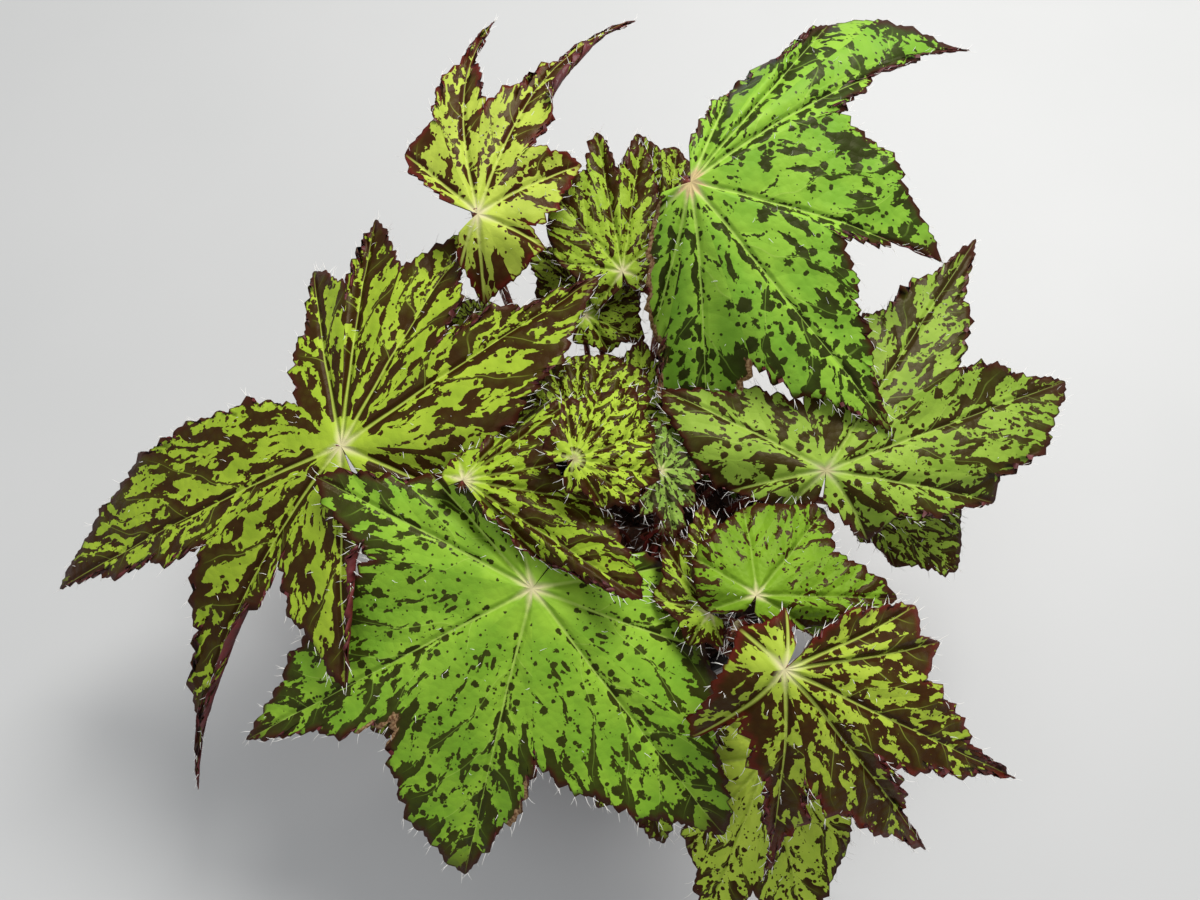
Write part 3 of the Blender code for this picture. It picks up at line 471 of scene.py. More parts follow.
leafShapes = {
    "front_broad": leafShape(
        hub=(-57, -43, 172), lean=(-90, 20), foot=(-21, -20, "soil"),
        sinus=((54, 20), (411, 26)), stalk=2.6, teeth=34, ripple=2.5,
        lobes=(
            lobe(104, 42, 10, (118, 46)), lobe(133, 72, 12, (141, 77)),
            lobe(153, 112, -2, (170, 72), 0, (0.04, 0.04)),
            lobe(208, 160, 38, (223, 86), 0, (0.03, 0.0)),
            lobe(256, 144, 42, (270, 78), 0, (0.14, 0.05)),
            lobe(307, 149, 32, (318, 114), 0, (0.03, 0.08)),
            lobe(339, 87, 28, (354, 74), 0, (0.0, 0.02)), lobe(368, 64, 34),
        ),
    ),
    "left_long": leafShape(
        hub=(-148, 22, 185), lean=(-140, 16), foot=(-30, -1, "stem"),
        sinus=((-58, 26), (295, 28)), stalk=2.6, teeth=38, ripple=1.5,
        lobes=(
            lobe(-25, 54, 22, (-5, 60)), lobe(33, 146, 14, (45, 68), 0, (0.08, 0.0)),
            lobe(63, 128, 16, (76, 93), 0, (0.0, 0.02)),
            lobe(89, 128, 20, (93, 83), 0, (0.0, -0.06)),
            lobe(107, 107, 17, (138, 32), 0, (0.02, 0.0)),
            lobe(197, 190, 39, (208, 84), 0, (0.16, 0.0)),
            lobe(227, 198, 78, (236, 58), 7, (-0.05, 0.03)),
            lobe(271, 110, 10, None, 0, (0.1, 0.04)),
        ),
    ),
    "back_left": leafShape(
        hub=(-85, 126, 225), lean=(-70, 12), foot=(-23, 21, "soil"),
        sinus=((222, 12), (518, 14)), stalk=2.2, teeth=30, ripple=1.5,
        lobes=(
            lobe(248, 23, 14, (256, 24)), lobe(275, 35, 26, (308, 31)),
            lobe(343, 34, 12, (355, 25)), lobe(399, 65, 20, (420, 44), 0, (0.04, 0.04)),
            lobe(435, 160, 30, (453, 57), -15, (0.04, -0.08)),
            lobe(463, 124, 18, (477, 58), -15, (-0.05, -0.02)),
            lobe(496, 53, 12, None, 0, (0.03, 0.05)),
        ),
    ),
    "back_right_large": leafShape(
        hub=(16, 134, 238), lean=(-75, 26), foot=(13, 25, "soil"),
        sinus=((200, 14), (452, 18)), stalk=2.8, teeth=38, ripple=1.5,
        via=((28, 78, 162), (27, 122, 205)),
        lobes=(
            lobe(223, 20, 8, (236, 30)), lobe(261, 67, 32, (266, 74)),
            lobe(280, 130, 50, (293, 88), 0, (0.14, 0.02)),
            lobe(313, 156, 8, (346, 75), 0, (0.0, -0.02)),
            lobe(351, 136, 12, (392, 81), -4, (-0.06, 0.08)),
            lobe(398, 185, 44, (407, 144), -11, (-0.08, 0.03)),
            lobe(411, 128, 44, (416, 86)), lobe(426, 60, 30),
        ),
    ),
    "right_star": leafShape(
        hub=(83, 17, 168), lean=(-40, 10), foot=(27, 1, "stem"),
        sinus=((264, 14), (617, 14)), stalk=2.4, teeth=36, ripple=1.5,
        lobes=(
            lobe(314, 40, 20, (336, 43)), lobe(356, 97, 17, (363, 95)),
            lobe(383, 155, 10, (398, 92), 0, (0.1, 0.02)),
            lobe(415, 169, 2, (466, 34), 0, (-0.02, 0.04)),
            lobe(511, 89, 12, (534, 64)), lobe(550, 43, 16, (566, 32)), lobe(584, 27, 18),
        ),
    ),
    "right_low": leafShape(
        hub=(119, 19, 118), lean=(-40, 20), foot=(36, 18, "soil"), via=((62, 22, 124),),
        sinus=((215, 10), (500, 12)), teeth=30,
        lobes=(
            lobe(255, 20, 6, (276, 20)), lobe(300, 36, 8, (314, 42)),
            lobe(328, 62, 4, (345, 58)), lobe(363, 58, 4, (386, 40)),
            lobe(412, 46, 5, (438, 28)), lobe(468, 34, 6),
        ),
    ),
    "centre_right": leafShape(
        hub=(44, -46, 172), lean=(-40, 14), foot=(19, -16, "soil"), via=((46, -28, 138),),
        sinus=((264, 8), (596, 9)), teeth=26,
        lobes=(
            lobe(333, 38, 14, (350, 43), 0, (-0.12, 0.02)), lobe(361, 71, 4, (389, 46)),
            lobe(407, 61, 14, (423, 50)), lobe(450, 43, 14, (474, 35)),
            lobe(506, 31, 10, (532, 26)), lobe(558, 21, 12),
        ),
    ),
    "front_right_star": leafShape(
        hub=(51, -82, 186), lean=(-65, 26), foot=(7, -27, "soil"), via=((38, -64, 132), (46, -74, 160)),
        sinus=((56, 10), (399, 10)), stalk=2.2, teeth=32,
        lobes=(
            lobe(73, 24, 16, (108, 18)), lobe(135, 20, 18, (190, 23)),
            lobe(236, 48, 40, (241, 26), 0, (0.1, 0.0)),
            lobe(277, 112, 52, (287, 54), 0, (-0.05, 0.0)),
            lobe(314, 132, 38, (320, 64), 0, (0.02, -0.04)),
            lobe(336, 143, 28, (354, 70), 0, (-0.01, -0.07)),
            lobe(365, 85, 22, (370, 70)), lobe(378, 77, 24, None, 0, (0.02, 0.12)),
        ),
    ),
    "front_right_low": leafShape(
        hub=(56, -108, 104), lean=(-80, 22), foot=(23, -33, "soil"),
        via=((42, -56, 121), (52, -80, 110)),
        sinus=((80, 10), (398, 14)), teeth=34,
        lobes=(
            lobe(112, 46, 2, (127, 38)), lobe(142, 46, 0, (163, 30)),
            lobe(190, 33, 12, (213, 44)),
            lobe(233, 62, 14, (240, 66)), lobe(252, 90, 17, (265, 67)),
            lobe(284, 90, 14, (297, 71)), lobe(313, 62, 6, (327, 50)),
            lobe(342, 38, 6),
        ),
    ),
    "centre_young": leafShape(
        hub=(-38, 4, 210), lean=(-40, 16), foot=(-9, 1, "stem"),
        sinus=((236, 7), (552, 8)), stalk=1.5, teeth=24,
        lobes=(
            lobe(262, 14, 5, (288, 14)), lobe(310, 26, 7, (318, 27)),
            lobe(331, 35, 7, (342, 33)), lobe(355, 42, 8, (372, 36)),
            lobe(385, 44, 9, (402, 41)), lobe(413, 49, 11, (422, 40)),
            lobe(429, 38, 10, (444, 28)), lobe(457, 30, 6, (470, 18)),
            lobe(520, 14, 6),
        ),
    ),
    "centre_young_behind": leafShape(
        hub=(-38, 31, 180), lean=(20, 6), foot=(-8, 18, "soil"),
        sinus=((-46, 12), (238, 10)), stalk=1.5, teeth=26,
        lobes=(
            lobe(0, 32, 6, (28, 38)), lobe(50, 56, 10, (59, 50)),
            lobe(70, 54, 6, (79, 46)), lobe(88, 47, 5, (99, 43)),
            lobe(108, 45, 4, (123, 41)), lobe(138, 41, 4, (160, 24)),
            lobe(190, 24, 5),
        ),
    ),
    "centre_left": leafShape(
        hub=(-88, 0, 196), lean=(-50, 8), foot=(-20, 1, "stem"), via=((-46, 14, 142), (-76, 13, 176)),
        sinus=((-52, 12), (200, 7)), teeth=30,
        lobes=(
            lobe(-42, 50, 9, (-38, 66)), lobe(-32, 96, 5, (-21, 76)),
            lobe(-7, 63, 3, (4, 44)), lobe(13, 42, 1, (25, 44)),
            lobe(41, 66, 4, (47, 55)), lobe(54, 55, 18, (66, 18)),
            lobe(100, 14, 4, (130, 11)), lobe(160, 11, 4),
        ),
    ),
    "back_middle": leafShape(
        hub=(-15, 118, 190), lean=(-110, 10), foot=(-3, 29, "soil"), via=((0, 76, 150), (3, 111, 172)),
        sinus=((-66, 8), (268, 8)), teeth=30,
        lobes=(
            lobe(-20, 28, 8, (14, 26)), lobe(46, 38, 8, (66, 46)),
            lobe(82, 76, 0, (91, 50)), lobe(99, 81, -5, (107, 59)),
            lobe(128, 57, -3, (148, 46)), lobe(168, 34, 2, (196, 20)),
            lobe(230, 22, 8),
        ),
    ),
    "back_shaded": leafShape(
        hub=(11, 155, 172), lean=(-100, 12), foot=(6, 34, "soil"), via=((9, 60, 139),),
        sinus=((-44, 10), (252, 10)), teeth=34,
        lobes=(
            lobe(0, 30, 8, (26, 28)), lobe(46, 38, 8, (68, 42)),
            lobe(84, 54, 0, (94, 50)), lobe(105, 64, -3, (117, 52)),
            lobe(128, 45, -3, (154, 28)), lobe(194, 28, 2),
        ),
    ),
    "back_low": leafShape(
        hub=(-32, 126, 160), lean=(-120, 12), foot=(-12, 34, "soil"), via=((-17, 60, 124),),
        sinus=((-62, 8), (288, 8)), stalk=1.5, teeth=30,
        lobes=(
            lobe(-14, 24, 5, (20, 18)), lobe(50, 28, 3, (68, 22)),
            lobe(85, 33, 0, (96, 25)), lobe(108, 44, -4, (126, 32)),
            lobe(141, 46, -3, (162, 30)), lobe(188, 29, 2, (215, 18)),
            lobe(246, 20, 6),
        ),
    ),
    "back_small": leafShape(
        hub=(-34, 102, 174), lean=(-60, 14), foot=(-14, 24, "soil"),
        sinus=((212, 6), (528, 6)), stalk=1.5, teeth=26,
        lobes=(
            lobe(246, 14, 6, (280, 15)), lobe(308, 22, 5, (326, 23)),
            lobe(342, 33, 4, (366, 28)), lobe(392, 35, 3, (410, 26)),
            lobe(428, 24, 1, (452, 15)), lobe(482, 15, 3),
        ),
    ),
    "left_low": leafShape(
        hub=(-93, 114, 150), lean=(-110, 10), foot=(-36, 23, "soil"), via=((-62, 52, 125),),
        sinus=((-52, 6), (298, 6)), stalk=1.5, teeth=26,
        lobes=(
            lobe(10, 18, 5, (50, 13)), lobe(84, 17, 4, (100, 13)),
            lobe(115, 19, 4, (126, 16)), lobe(138, 27, 5, (168, 16)),
            lobe(205, 22, 6, (234, 13)), lobe(268, 17, 7),
        ),
    ),
    "crown_small": leafShape(
        hub=(3, 16, 170), lean=(-80, 6), foot=(4, 0, "stem"), via=((2, 15, 138),),
        sinus=((214, 6), (530, 6)), stalk=1.3,
        lobes=(
            lobe(244, 24, 4, (262, 20)), lobe(280, 33, 6, (300, 19)),
            lobe(318, 23, 8, (340, 17)), lobe(372, 23, 11, (394, 22)),
            lobe(422, 30, 12, (440, 26)), lobe(462, 32, 11, (480, 24)),
            lobe(504, 20, 8),
        ),
    ),
    "centre_shaded": leafShape(
        hub=(-7, 50, 157), lean=(-90, 12), foot=(3, 18, "soil"),
        sinus=((196, 6), (512, 6)), stalk=1.3, teeth=26,
        lobes=(
            lobe(232, 20, 4, (262, 16)), lobe(318, 24, 8, (342, 17)),
            lobe(376, 20, 9, (396, 19)), lobe(419, 38, 2, (432, 32)),
            lobe(447, 42, -2, (462, 34)), lobe(480, 36, 2),
        ),
    ),
    "centre_low": leafShape(
        hub=(24, -51, 160), lean=(-100, 6), foot=(5, -16, "soil"),
        sinus=((-4, 8), (332, 7)), stalk=1.5, teeth=28,
        lobes=(
            lobe(34, 18, 6, (66, 26)), lobe(91, 53, 5, (104, 36)),
            lobe(121, 41, 7, (140, 27)), lobe(164, 27, 3, (194, 15)),
            lobe(236, 17, 7, (262, 13)), lobe(294, 16, 8),
        ),
    ),
    "front_low_left": leafShape(
        hub=(-94, -64, 96), lean=(-100, 16), foot=(-33, -22, "soil"),
        sinus=((36, 9), (386, 12)), stalk=2.0, teeth=34, via=((-58, -42, 122),),
        lobes=(
            lobe(94, 36, 8, (130, 26)), lobe(166, 42, 9, (188, 34)),
            lobe(210, 63, 12, (248, 38)), lobe(294, 69, 16, (315, 38)),
            lobe(342, 48, 12),
        ),
    ),
    "front_low_right": leafShape(
        hub=(-14, -96, 92), lean=(-80, 16), foot=(-8, -36, "soil"),
        sinus=((116, 8), (426, 8)), stalk=2.0, teeth=34, via=((-10, -68, 131),),
        lobes=(
            lobe(160, 24, 6, (186, 20)), lobe(215, 30, 10, (234, 24)),
            lobe(250, 40, 14, (270, 34)), lobe(291, 60, 14, (313, 38)),
            lobe(335, 51, 10, (354, 28)), lobe(384, 28, 5),
        ),
    ),
    "right_shaded": leafShape(
        hub=(49, 43, 125), lean=(-120, 8), foot=(22, 21, "soil"),
        sinus=((-66, 8), (284, 8)), teeth=30,
        lobes=(
            lobe(-20, 28, 5, (22, 20)), lobe(58, 32, 3, (76, 24)),
            lobe(92, 36, 1, (108, 28)), lobe(121, 43, 2, (135, 30)),
            lobe(150, 38, 4, (176, 18)), lobe(207, 24, 5, (236, 16)),
            lobe(262, 22, 7),
        ),
    ),
    "young_bud": leafShape(
        hub=(5, -4, 148), lean=(-100, 24), foot=(12, -13, "soil"),
        sinus=((-194, 4), (-6, 4)), stalk=1.2, fold=0.45,
        lobes=(
            lobe(-158, 15, 2, (-142, 12)), lobe(-122, 22, 3, (-110, 15)),
            lobe(-96, 27, 4, (-82, 14)), lobe(-68, 21, 3, (-52, 12)),
            lobe(-36, 14, 2),
        ),
    ),
    "young_folded": leafShape(
        hub=(36, -54, 156), lean=(-50, 30), foot=(15, -28, "soil"), via=((30, -46, 130),),
        sinus=((-140, 4), (40, 4)), stalk=1.3, fold=0.5,
        lobes=(
            lobe(-104, 10, 2, (-92, 9)), lobe(-72, 17, 3, (-62, 14)),
            lobe(-50, 28, 4, (-38, 14)), lobe(-28, 17, 3, (-8, 9)),
            lobe(6, 10, 2),
        ),
    ),
}

# Margins that roll over and show the underside: lobe, side of its midrib (1 left,
# -1 right, seen from above), width in millimetres, turn in degrees, and the
# stretch along the lobe where it rolls.
curls = {
    "left_long": ((6, 1, 3.2, 150, 60, 190), (7, 1, 3.2, 150, 40, 104)),
    "back_left": ((4, -1, 4, 120, 60, 150),),
}
curlDetail = {
    "fade": (25, 12), "least": 0.5,  # millimetres
    "most": 0.85,  # share of its half of the lobe
}

# Stretches of margin that have dried: from and to in degrees, width in millimetres.
dryMargins = {
    "back_right_large": ((214, 284, 1.9), (286, 292, 2.4)),
    "front_broad": ((220, 226, 2.2), (264, 268, 1.8)),
}
wearDetail = {
    "tip": (0.84, 1.0), "tipAside": (0.05, 0.3),  # shares of a lobe's reach and of its half width
    "dryFade": 2, "dryEdge": (0.3, 1.3),  # degrees, and shares of the dried width
}

leafDetail = {
    "thickness": 0.6,
    "rings": 16, "smallRings": 10, "smallReach": 96,  # rings of the blade's grid
    # teeth: the pairs of tip places are for a lobe's first and second side
    "coarseTooth": 0.11, "coarseTip": (0.8, 0.2),
    "toothSpacing": 8.0, "toothHeight": (0.22, 0.46), "toothTip": (0.78, 0.22),
    "toothShift": 0.22, "tipShift": 0.07, "calmTip": 0.8,
    "smallSpacing": 3.2, "smallTooth": (0.3, 1.0), "smallTip": (0.65, 0.3), "smallNotch": 0.15,
    "leastTurn": math.radians(0.03), "steepTooth": 0.35,  # where the outline runs straight out
    "crowd": 1.2, "toothRoot": 0.8,  # how the rings crowd outwards, and where the teeth begin
    "hollow": 0.07,  # how far a lobe's sides draw in before its tip
    "droopPower": 1.7, "rippleWaves": 9,
    "swells": ((1.6, 26), (0.5, 10)),  # heights and lengths of the blade's unevenness
    "groove": (0.7, 1.8),  # depth and half width of the midrib's groove
}


def ease(t):
    return t * t * (3 - 2 * t)


def between(value, low, high):
    return ease(min(1, max(0, (value - low) / (high - low))))


def polar(heading, reach):
    angle = math.radians(heading)
    return Vector((reach * math.cos(angle), reach * math.sin(angle)))


def headingOf(flat, near):
    # this flat point's heading, on the same turn as a heading near it
    return near + ((math.atan2(flat.y, flat.x) - near + math.pi) % math.tau - math.pi)


def envelope(leaf, heading):
    # the lobes' reach, droop and bend at this heading, in degrees, how far across
    # the lobe it is, and which lobe it is
    lobes = leaf.lobes
    if heading <= lobes[0].heading or heading >= lobes[-1].heading:
        index = 0 if heading <= lobes[0].heading else len(lobes) - 1
        end = lobes[index]
        limit = leaf.sinus[0][0] if index == 0 else leaf.sinus[1][0]
        aside = min(1, abs((heading - end.heading) / (limit - end.heading)))
        return end.reach, end.droop, end.bend, aside, index
    index = 0
    while heading > lobes[index + 1].heading:
        index += 1
    first, second = lobes[index], lobes[index + 1]
    share = ease((heading - first.heading) / (second.heading - first.heading))
    middle = first.notch[0]
    if heading < middle:
        aside = (heading - first.heading) / (middle - first.heading)
    else:
        aside = (second.heading - heading) / (second.heading - middle)
        index += 1
    blend = [getattr(first, key) + (getattr(second, key) - getattr(first, key)) * share
             for key in ("reach", "droop", "bend")]
    return (*blend, aside, index)


def coarseEdge(leaf):
    # the lobes' outline with its large teeth, as flat points
    sides = []
    before = polar(*leaf.sinus[0])
    for one in leaf.lobes:
        tip = polar(one.heading, one.reach)
        after = polar(*(one.notch or leaf.sinus[1]))
        sides += [(before, tip, one.swell[0], True), (tip, after, one.swell[1], False)]
        before = after
    flat = []
    for start, end, swell, toTip in sides:
        along = end - start
        outward = Vector((along.y, -along.x))
        count = max(1, round(along.length / leaf.teeth))
        height = leafDetail["coarseTooth"] * along.length / count
        for tooth in range(count):
            shares = [(tooth / count, 0)]
            if count > 1 or along.length > 0.7 * leaf.teeth:
                shares.append(((tooth + leafDetail["coarseTip"][0 if toTip else 1]) / count, height))
            for share, lift in shares:
                close = share if toTip else 1 - share
                bulge = swell * 4 * share * (1 - share)
                bulge -= leafDetail["hollow"] * close**4 * (1 - close**4)
                lift *= 1 - close**3
                point = start + along * share + outward * bulge + outward.normalized() * lift
                flat.append((point, toTip, close))
    flat.append((before, False, 0))
    return flat


def fineEdge(leaf, chance):
    # the outline as (heading, reach, tooth, whether it is a tooth's tip): the tooth is
    # how far the point stands off the smooth outline
    coarse = coarseEdge(leaf)
    detail = leafDetail
    made = []

    def put(point, tooth, isTip):
        heading = math.atan2(point.y, point.x)
        if made:
            turn = (heading - made[-1][0]) % math.tau
            if not detail["leastTurn"] < turn < math.pi:
                turn = detail["leastTurn"]
                tooth = tooth * detail["steepTooth"]
            heading = made[-1][0] + turn
        else:
            heading = math.radians(leaf.sinus[0][0])
        made.append((heading, point.length, tooth, isTip))

    def rise(share, lean):
        # a tooth's height at this share of it, from 0 at its ends to 1 at its tip
        return share / lean if share <= lean else (1 - share) / (1 - lean)

    for (start, toTip, close), (end, _, closeEnd) in zip(coarse, coarse[1:]):
        if not toTip:
            closeEnd = 0 if closeEnd > close else closeEnd
        calm = 1 - detail["calmTip"] * max(close, closeEnd) ** 5
        whole = end - start
        outward = Vector((whole.y, -whole.x)).normalized()
        count = max(1, round(whole.length * shrink / detail["toothSpacing"]))
        shift = detail["toothShift"]
        cuts = [0, *((tooth + chance.uniform(-shift, shift)) / count for tooth in range(1, count)), 1]
        facing = 0 if toTip else 1
        for low, high in zip(cuts, cuts[1:]):
            along = whole * (high - low)
            base = start + whole * low
            lean = detail["toothTip"][facing] + chance.uniform(-detail["tipShift"], detail["tipShift"])
            height = chance.uniform(*detail["toothHeight"]) * along.length * calm
            small = max(1, round(along.length * shrink / detail["smallSpacing"]))
            for share in sorted([share / small for share in range(small)] + [lean]):
                if share == lean:
                    put(base + along * share, outward * height, True)
                    continue
                if share > 0 and abs(share - lean) < 0.5 / small:
                    continue
                lift = height * rise(share, lean) - detail["smallNotch"] * (share > 0)
                put(base + along * share, outward * lift, False)
                bump = share + detail["smallTip"][facing] / small
                if small > 1 and abs(bump - lean) > 0.35 / small and bump < 1:
                    lift = height * rise(bump, lean) + chance.uniform(*detail["smallTooth"])
                    put(base + along * bump, outward * lift, chance.random() < 0.5)
    put(coarse[-1][0], Vector((0, 0)), False)
    return made


def drawnPlace(point):
    # a point of the table, at the plant's own size
    x, y, z = point
    return Vector((x * shrink, y * shrink, soilTop + (z - soilTop) * shrink))


def leafFrame(leaf):
    heading, fall = map(math.radians, leaf.lean)
    level = Vector((-math.sin(heading), math.cos(heading), 0))
    return Matrix.Translation(drawnPlace(leaf.hub)) @ Matrix.Rotation(fall, 4, level)


def insideSide(leaf, index, side, along, beside):
    # how far inside the lobe's side this is, and how wide that half of the lobe is
    one = leaf.lobes[index]
    if side > 0:
        notch = one.notch or leaf.sinus[1]
    else:
        notch = leaf.lobes[index - 1].notch if index else leaf.sinus[0]
    corner = polar(notch[0] - one.heading, notch[1])
    share = min(1, max(0, (along - corner.x) / (one.reach - corner.x)))
    bulge = one.swell[0 if side < 0 else 1] * (one.reach - corner.x) * 4 * share * (1 - share)
    half = abs(corner.y) * (1 - share) + bulge
    return half - abs(beside), half


def rollOver(name, leaf, index, share, along, beside):
    # how far a rolled margin moves this point
    one = leaf.lobes[index]
    moved = Vector((0, 0, 0))
    fadeIn, fadeOut = curlDetail["fade"]
    for lobeIndex, side, width, turn, start, end in curls.get(name, ()):
        if lobeIndex != index or beside * side <= 0:
            continue
        inside, half = insideSide(leaf, index, side, along, beside)
        width = min(width, curlDetail["most"] * half)
        past = width - inside
        shown = between(along, start, start + fadeIn) * (1 - between(along, end - fadeOut, end))
        if past <= 0 or width < curlDetail["least"] or shown < 0.01:
            continue
        radius = width / (math.radians(turn) * shown)
        axis = math.radians(one.heading + one.bend * share**2)
        outward = Vector((-math.sin(axis), math.cos(axis), 0)) * side
        moved += outward * (math.sin(past / radius) * radius - past)
        moved.z += radius * (1 - math.cos(past / radius))
    return moved


def onBlade(name, leaf, heading, reach, known=None):
    # the point of the blade at this heading, in radians, and reach, in the leaf's own plane
    full, droop, bend, aside, index = known or envelope(leaf, math.degrees(heading))
    share = min(1.05, reach / full)
    turned = heading + math.radians(bend) * share**2
    height = -droop * share ** leafDetail["droopPower"]
    height += leaf.fold * reach * (1 - math.cos(math.pi * aside)) / 2
    height += leaf.ripple * math.sin(leafDetail["rippleWaves"] * heading) * share**2
    place = Vector((reach * math.cos(turned), reach * math.sin(turned), height))
    spot = Vector((place.x, place.y, len(name) * 37.0))
    swell = sum(rise * noise.noise(spot / length) for rise, length in leafDetail["swells"])
    place.z += swell * between(reach, 8, 30)
    offset = heading - math.radians(leaf.lobes[index].heading)
    along, beside = reach * math.cos(offset), reach * math.sin(offset)
    depth, half = leafDetail["groove"]
    place.z -= depth * math.exp(-((beside / half) ** 2)) * between(reach, 4, 14)
    return (place + rollOver(name, leaf, index, share, along, beside)) * shrink


def wearAt(name, heading, share, aside, margin):
    # how far out on a lobe's tip, and how dry, this point of the blade is
    tip = between(share, *wearDetail["tip"]) * (1 - between(aside, *wearDetail["tipAside"]))
    fade = wearDetail["dryFade"]
    near, far = wearDetail["dryEdge"]
    dry = 0
    for low, high, width in dryMargins.get(name, ()):
        inside = between(heading, low - fade, low) * (1 - between(heading, high, high + fade))
        dry = max(dry, inside * (1 - between(margin * shrink, near * width, far * width)))
    return tip, dry


def newPiece(name, mesh, slot, *nodes):
    piece = addObject(name, mesh)
    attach(piece, "root")
    if nodes:
        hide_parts(*nodes)
    return piece


def slotOf(name):
    return next((slot for slot, names in leafSlots.items() if name in names), "leaf_green")


def toMesh(bm, name, smooth=True):
    for face in bm.faces:
        face.smooth = smooth
    mesh = bpy.data.meshes.new(name)
    bm.to_mesh(mesh)
    bm.free()
    return mesh


leafFinish = {
    "roughness": (0.50, 0.40),  # on the green, on the blotches
    "specular": 0.14, "specularTint": (1.0, 0.9, 0.6, 1),
    "veinTint": (0.66, 0.70, 0.25), "veinShare": 0.2,
    "clouds": (0.3, 0.7, 0.75),  # levels of the pattern's cloud, and how much it lightens
    "ribLight": (0.0, 0.9, 0.45),  # near, far and how much lighter
    "faded": (-0.3, 0.3), "fadedShare": 0.06,  # heights, and the deep green in the paler blotches
    "spacing": (0.16, 0.75),  # centimetres between side veins: per centimetre of reach, least
    "wideLeaf": 13,  # reach in centimetres of a leaf whose marks have a Scale of 1
    "edgeWidth": 0.07, "edgeShade": 0.3,
    "scar": (0.75, 2.5),  # the star's level where the scar ends, and how sharply
    "wornTip": 0.75, "torn": (3.5, 0.45, 0.6),
    "dried": ((0.13, 0.055, 0.025), (0.38, 0.24, 0.12)), "driedMottle": (9.0, 0.35, 0.65),
    "bump": (0.0009, 0.7),
}


def blended(first, second, share):
    return tuple((1 - share) * a + share * b for a, b in zip(first, second))


def makeLeafMaterial(name, leaf, values):
    marks = {**markDefaults, **leafMarks.get(name, {})}
    widest = max(one.reach for one in leaf.lobes) * shrink * 0.1
    perReach, leastSpacing = values["spacing"]
    material, tree, shader = newMaterial("blade_" + name, values["roughness"][0])
    shader.inputs["Specular IOR Level"].default_value = values["specular"]
    shader.inputs["Specular Tint"].default_value = values["specularTint"]
    lobeMap, edgeMap = ownMap(tree, "lobe"), ownMap(tree, "edge")
    shares = ("blotches", "margin", "dots", "spots", "clear", "veins", "ribs")
    pattern = placeGroup(tree, leafPattern, {
        "Lobe": lobeMap, "Edge": edgeMap, "Spacing": max(leastSpacing, perReach * widest),
        "Seed": sum(map(ord, name)) * 0.37 % 50, "Scale": (values["wideLeaf"] / widest) ** 0.5,
        **{key.title(): marks[key] for key in shares},
    })
    toEdge = separate(tree, edgeMap)[0]
    # the green is lighter in clouds and along the midribs
    low, high, lighter = values["clouds"]
    cloud = calc(tree, "MULTIPLY", step(tree, pattern["Cloud"], low, high), lighter)
    beside = calc(tree, "ABSOLUTE", separate(tree, lobeMap)[1])
    cloud = calc(tree, "ADD", cloud, hugging(tree, beside, *values["ribLight"]), clamp=True)
    green = mixColour(tree, cloud, marks["deep"], marks["light"])
    vein = blended(marks["light"], values["veinTint"], values["veinShare"])
    green = mixColour(tree, pattern["Vein"], green, vein)
    faded = blended(marks["dark"], marks["deep"], values["fadedShare"])
    dark = mixColour(tree, step(tree, pattern["Height"], *values["faded"]), marks["dark"], faded)
    dark = mixColour(tree, step(tree, toEdge, 0.02, values["edgeShade"]), marks["edge"], dark)
    colour = mixColour(tree, pattern["Blotch"], green, dark)
    colour = mixColour(tree, step(tree, toEdge, 0.0, values["edgeWidth"]), marks["edge"], colour)
    # the star, with the scar of the hub in its middle
    scarEnd, sharpness = values["scar"]
    colour = mixColour(tree, pattern["Star"], colour, marks["star"])
    scar = calc(tree, "SUBTRACT", pattern["Star"], scarEnd / marks["scarSize"])
    scar = calc(tree, "MULTIPLY", scar, sharpness * marks["scarSize"], clamp=True)
    colour = mixColour(tree, scar, colour, marks["scar"])
    # worn lobe tips and dried margins
    worn, dry, _ = separate(tree, ownMap(tree, "wear"))
    colour = mixColour(tree, calc(tree, "MULTIPLY", worn, values["wornTip"]), colour, marks["edge"])
    tornScale, low, high = values["torn"]
    torn = calc(tree, "ADD", dry, calc(tree, "SUBTRACT", fineNoise(tree, lobeMap, tornScale), 0.5))
    dried = mixColour(tree, patches(tree, lobeMap, *values["driedMottle"]), *values["dried"])
    colour = mixColour(tree, step(tree, torn, low, high), colour, dried)
    feed(tree, shader.inputs["Roughness"], step(tree, pattern["Blotch"], 0, 1, *values["roughness"]))
    finish(tree, shader, colour, pattern["Height"], *values["bump"])
    return material


underFinish = {
    "roughness": 0.55, "deep": (0.072, 0.0054, 0.006), "light": (0.12, 0.009, 0.010),
    "vein": (0.30, 0.10, 0.06), "clouds": (0.35, 0.65), "spacing": 1.3, "seed": 4.0,
    "bump": (0.001, 0.8),
}


def makeUnderMaterial(values):
    material, tree, shader = newMaterial("underside_maroon", values["roughness"])
    pattern = placeGroup(tree, leafPattern, {
        "Lobe": ownMap(tree, "lobe"), "Edge": ownMap(tree, "edge"),
        "Spacing": values["spacing"], "Seed": values["seed"],
    })
    cloud = step(tree, pattern["Cloud"], *values["clouds"])
    colour = mixColour(tree, cloud, values["deep"], values["light"])
    colour = mixColour(tree, pattern["Vein"], colour, values["vein"])
    # a vein that sinks in on top stands out below
    finish(tree, shader, colour, calc(tree, "MULTIPLY", pattern["Height"], -1.0), *values["bump"])
    return material


def makeMottledMaterial(name, roughness, scale, *colours):
    # two colours in a plain mottle
    material, tree, shader = newMaterial(name, roughness)
    finish(tree, shader, mixColour(tree, fineNoise(tree, objectPlace(tree), scale), *colours))
    return material


underMaterial = makeUnderMaterial(underFinish)
rimMaterial = makeMottledMaterial("leaf_rim", 0.6, 300, (0.05, 0.012, 0.010), (0.16, 0.035, 0.02))


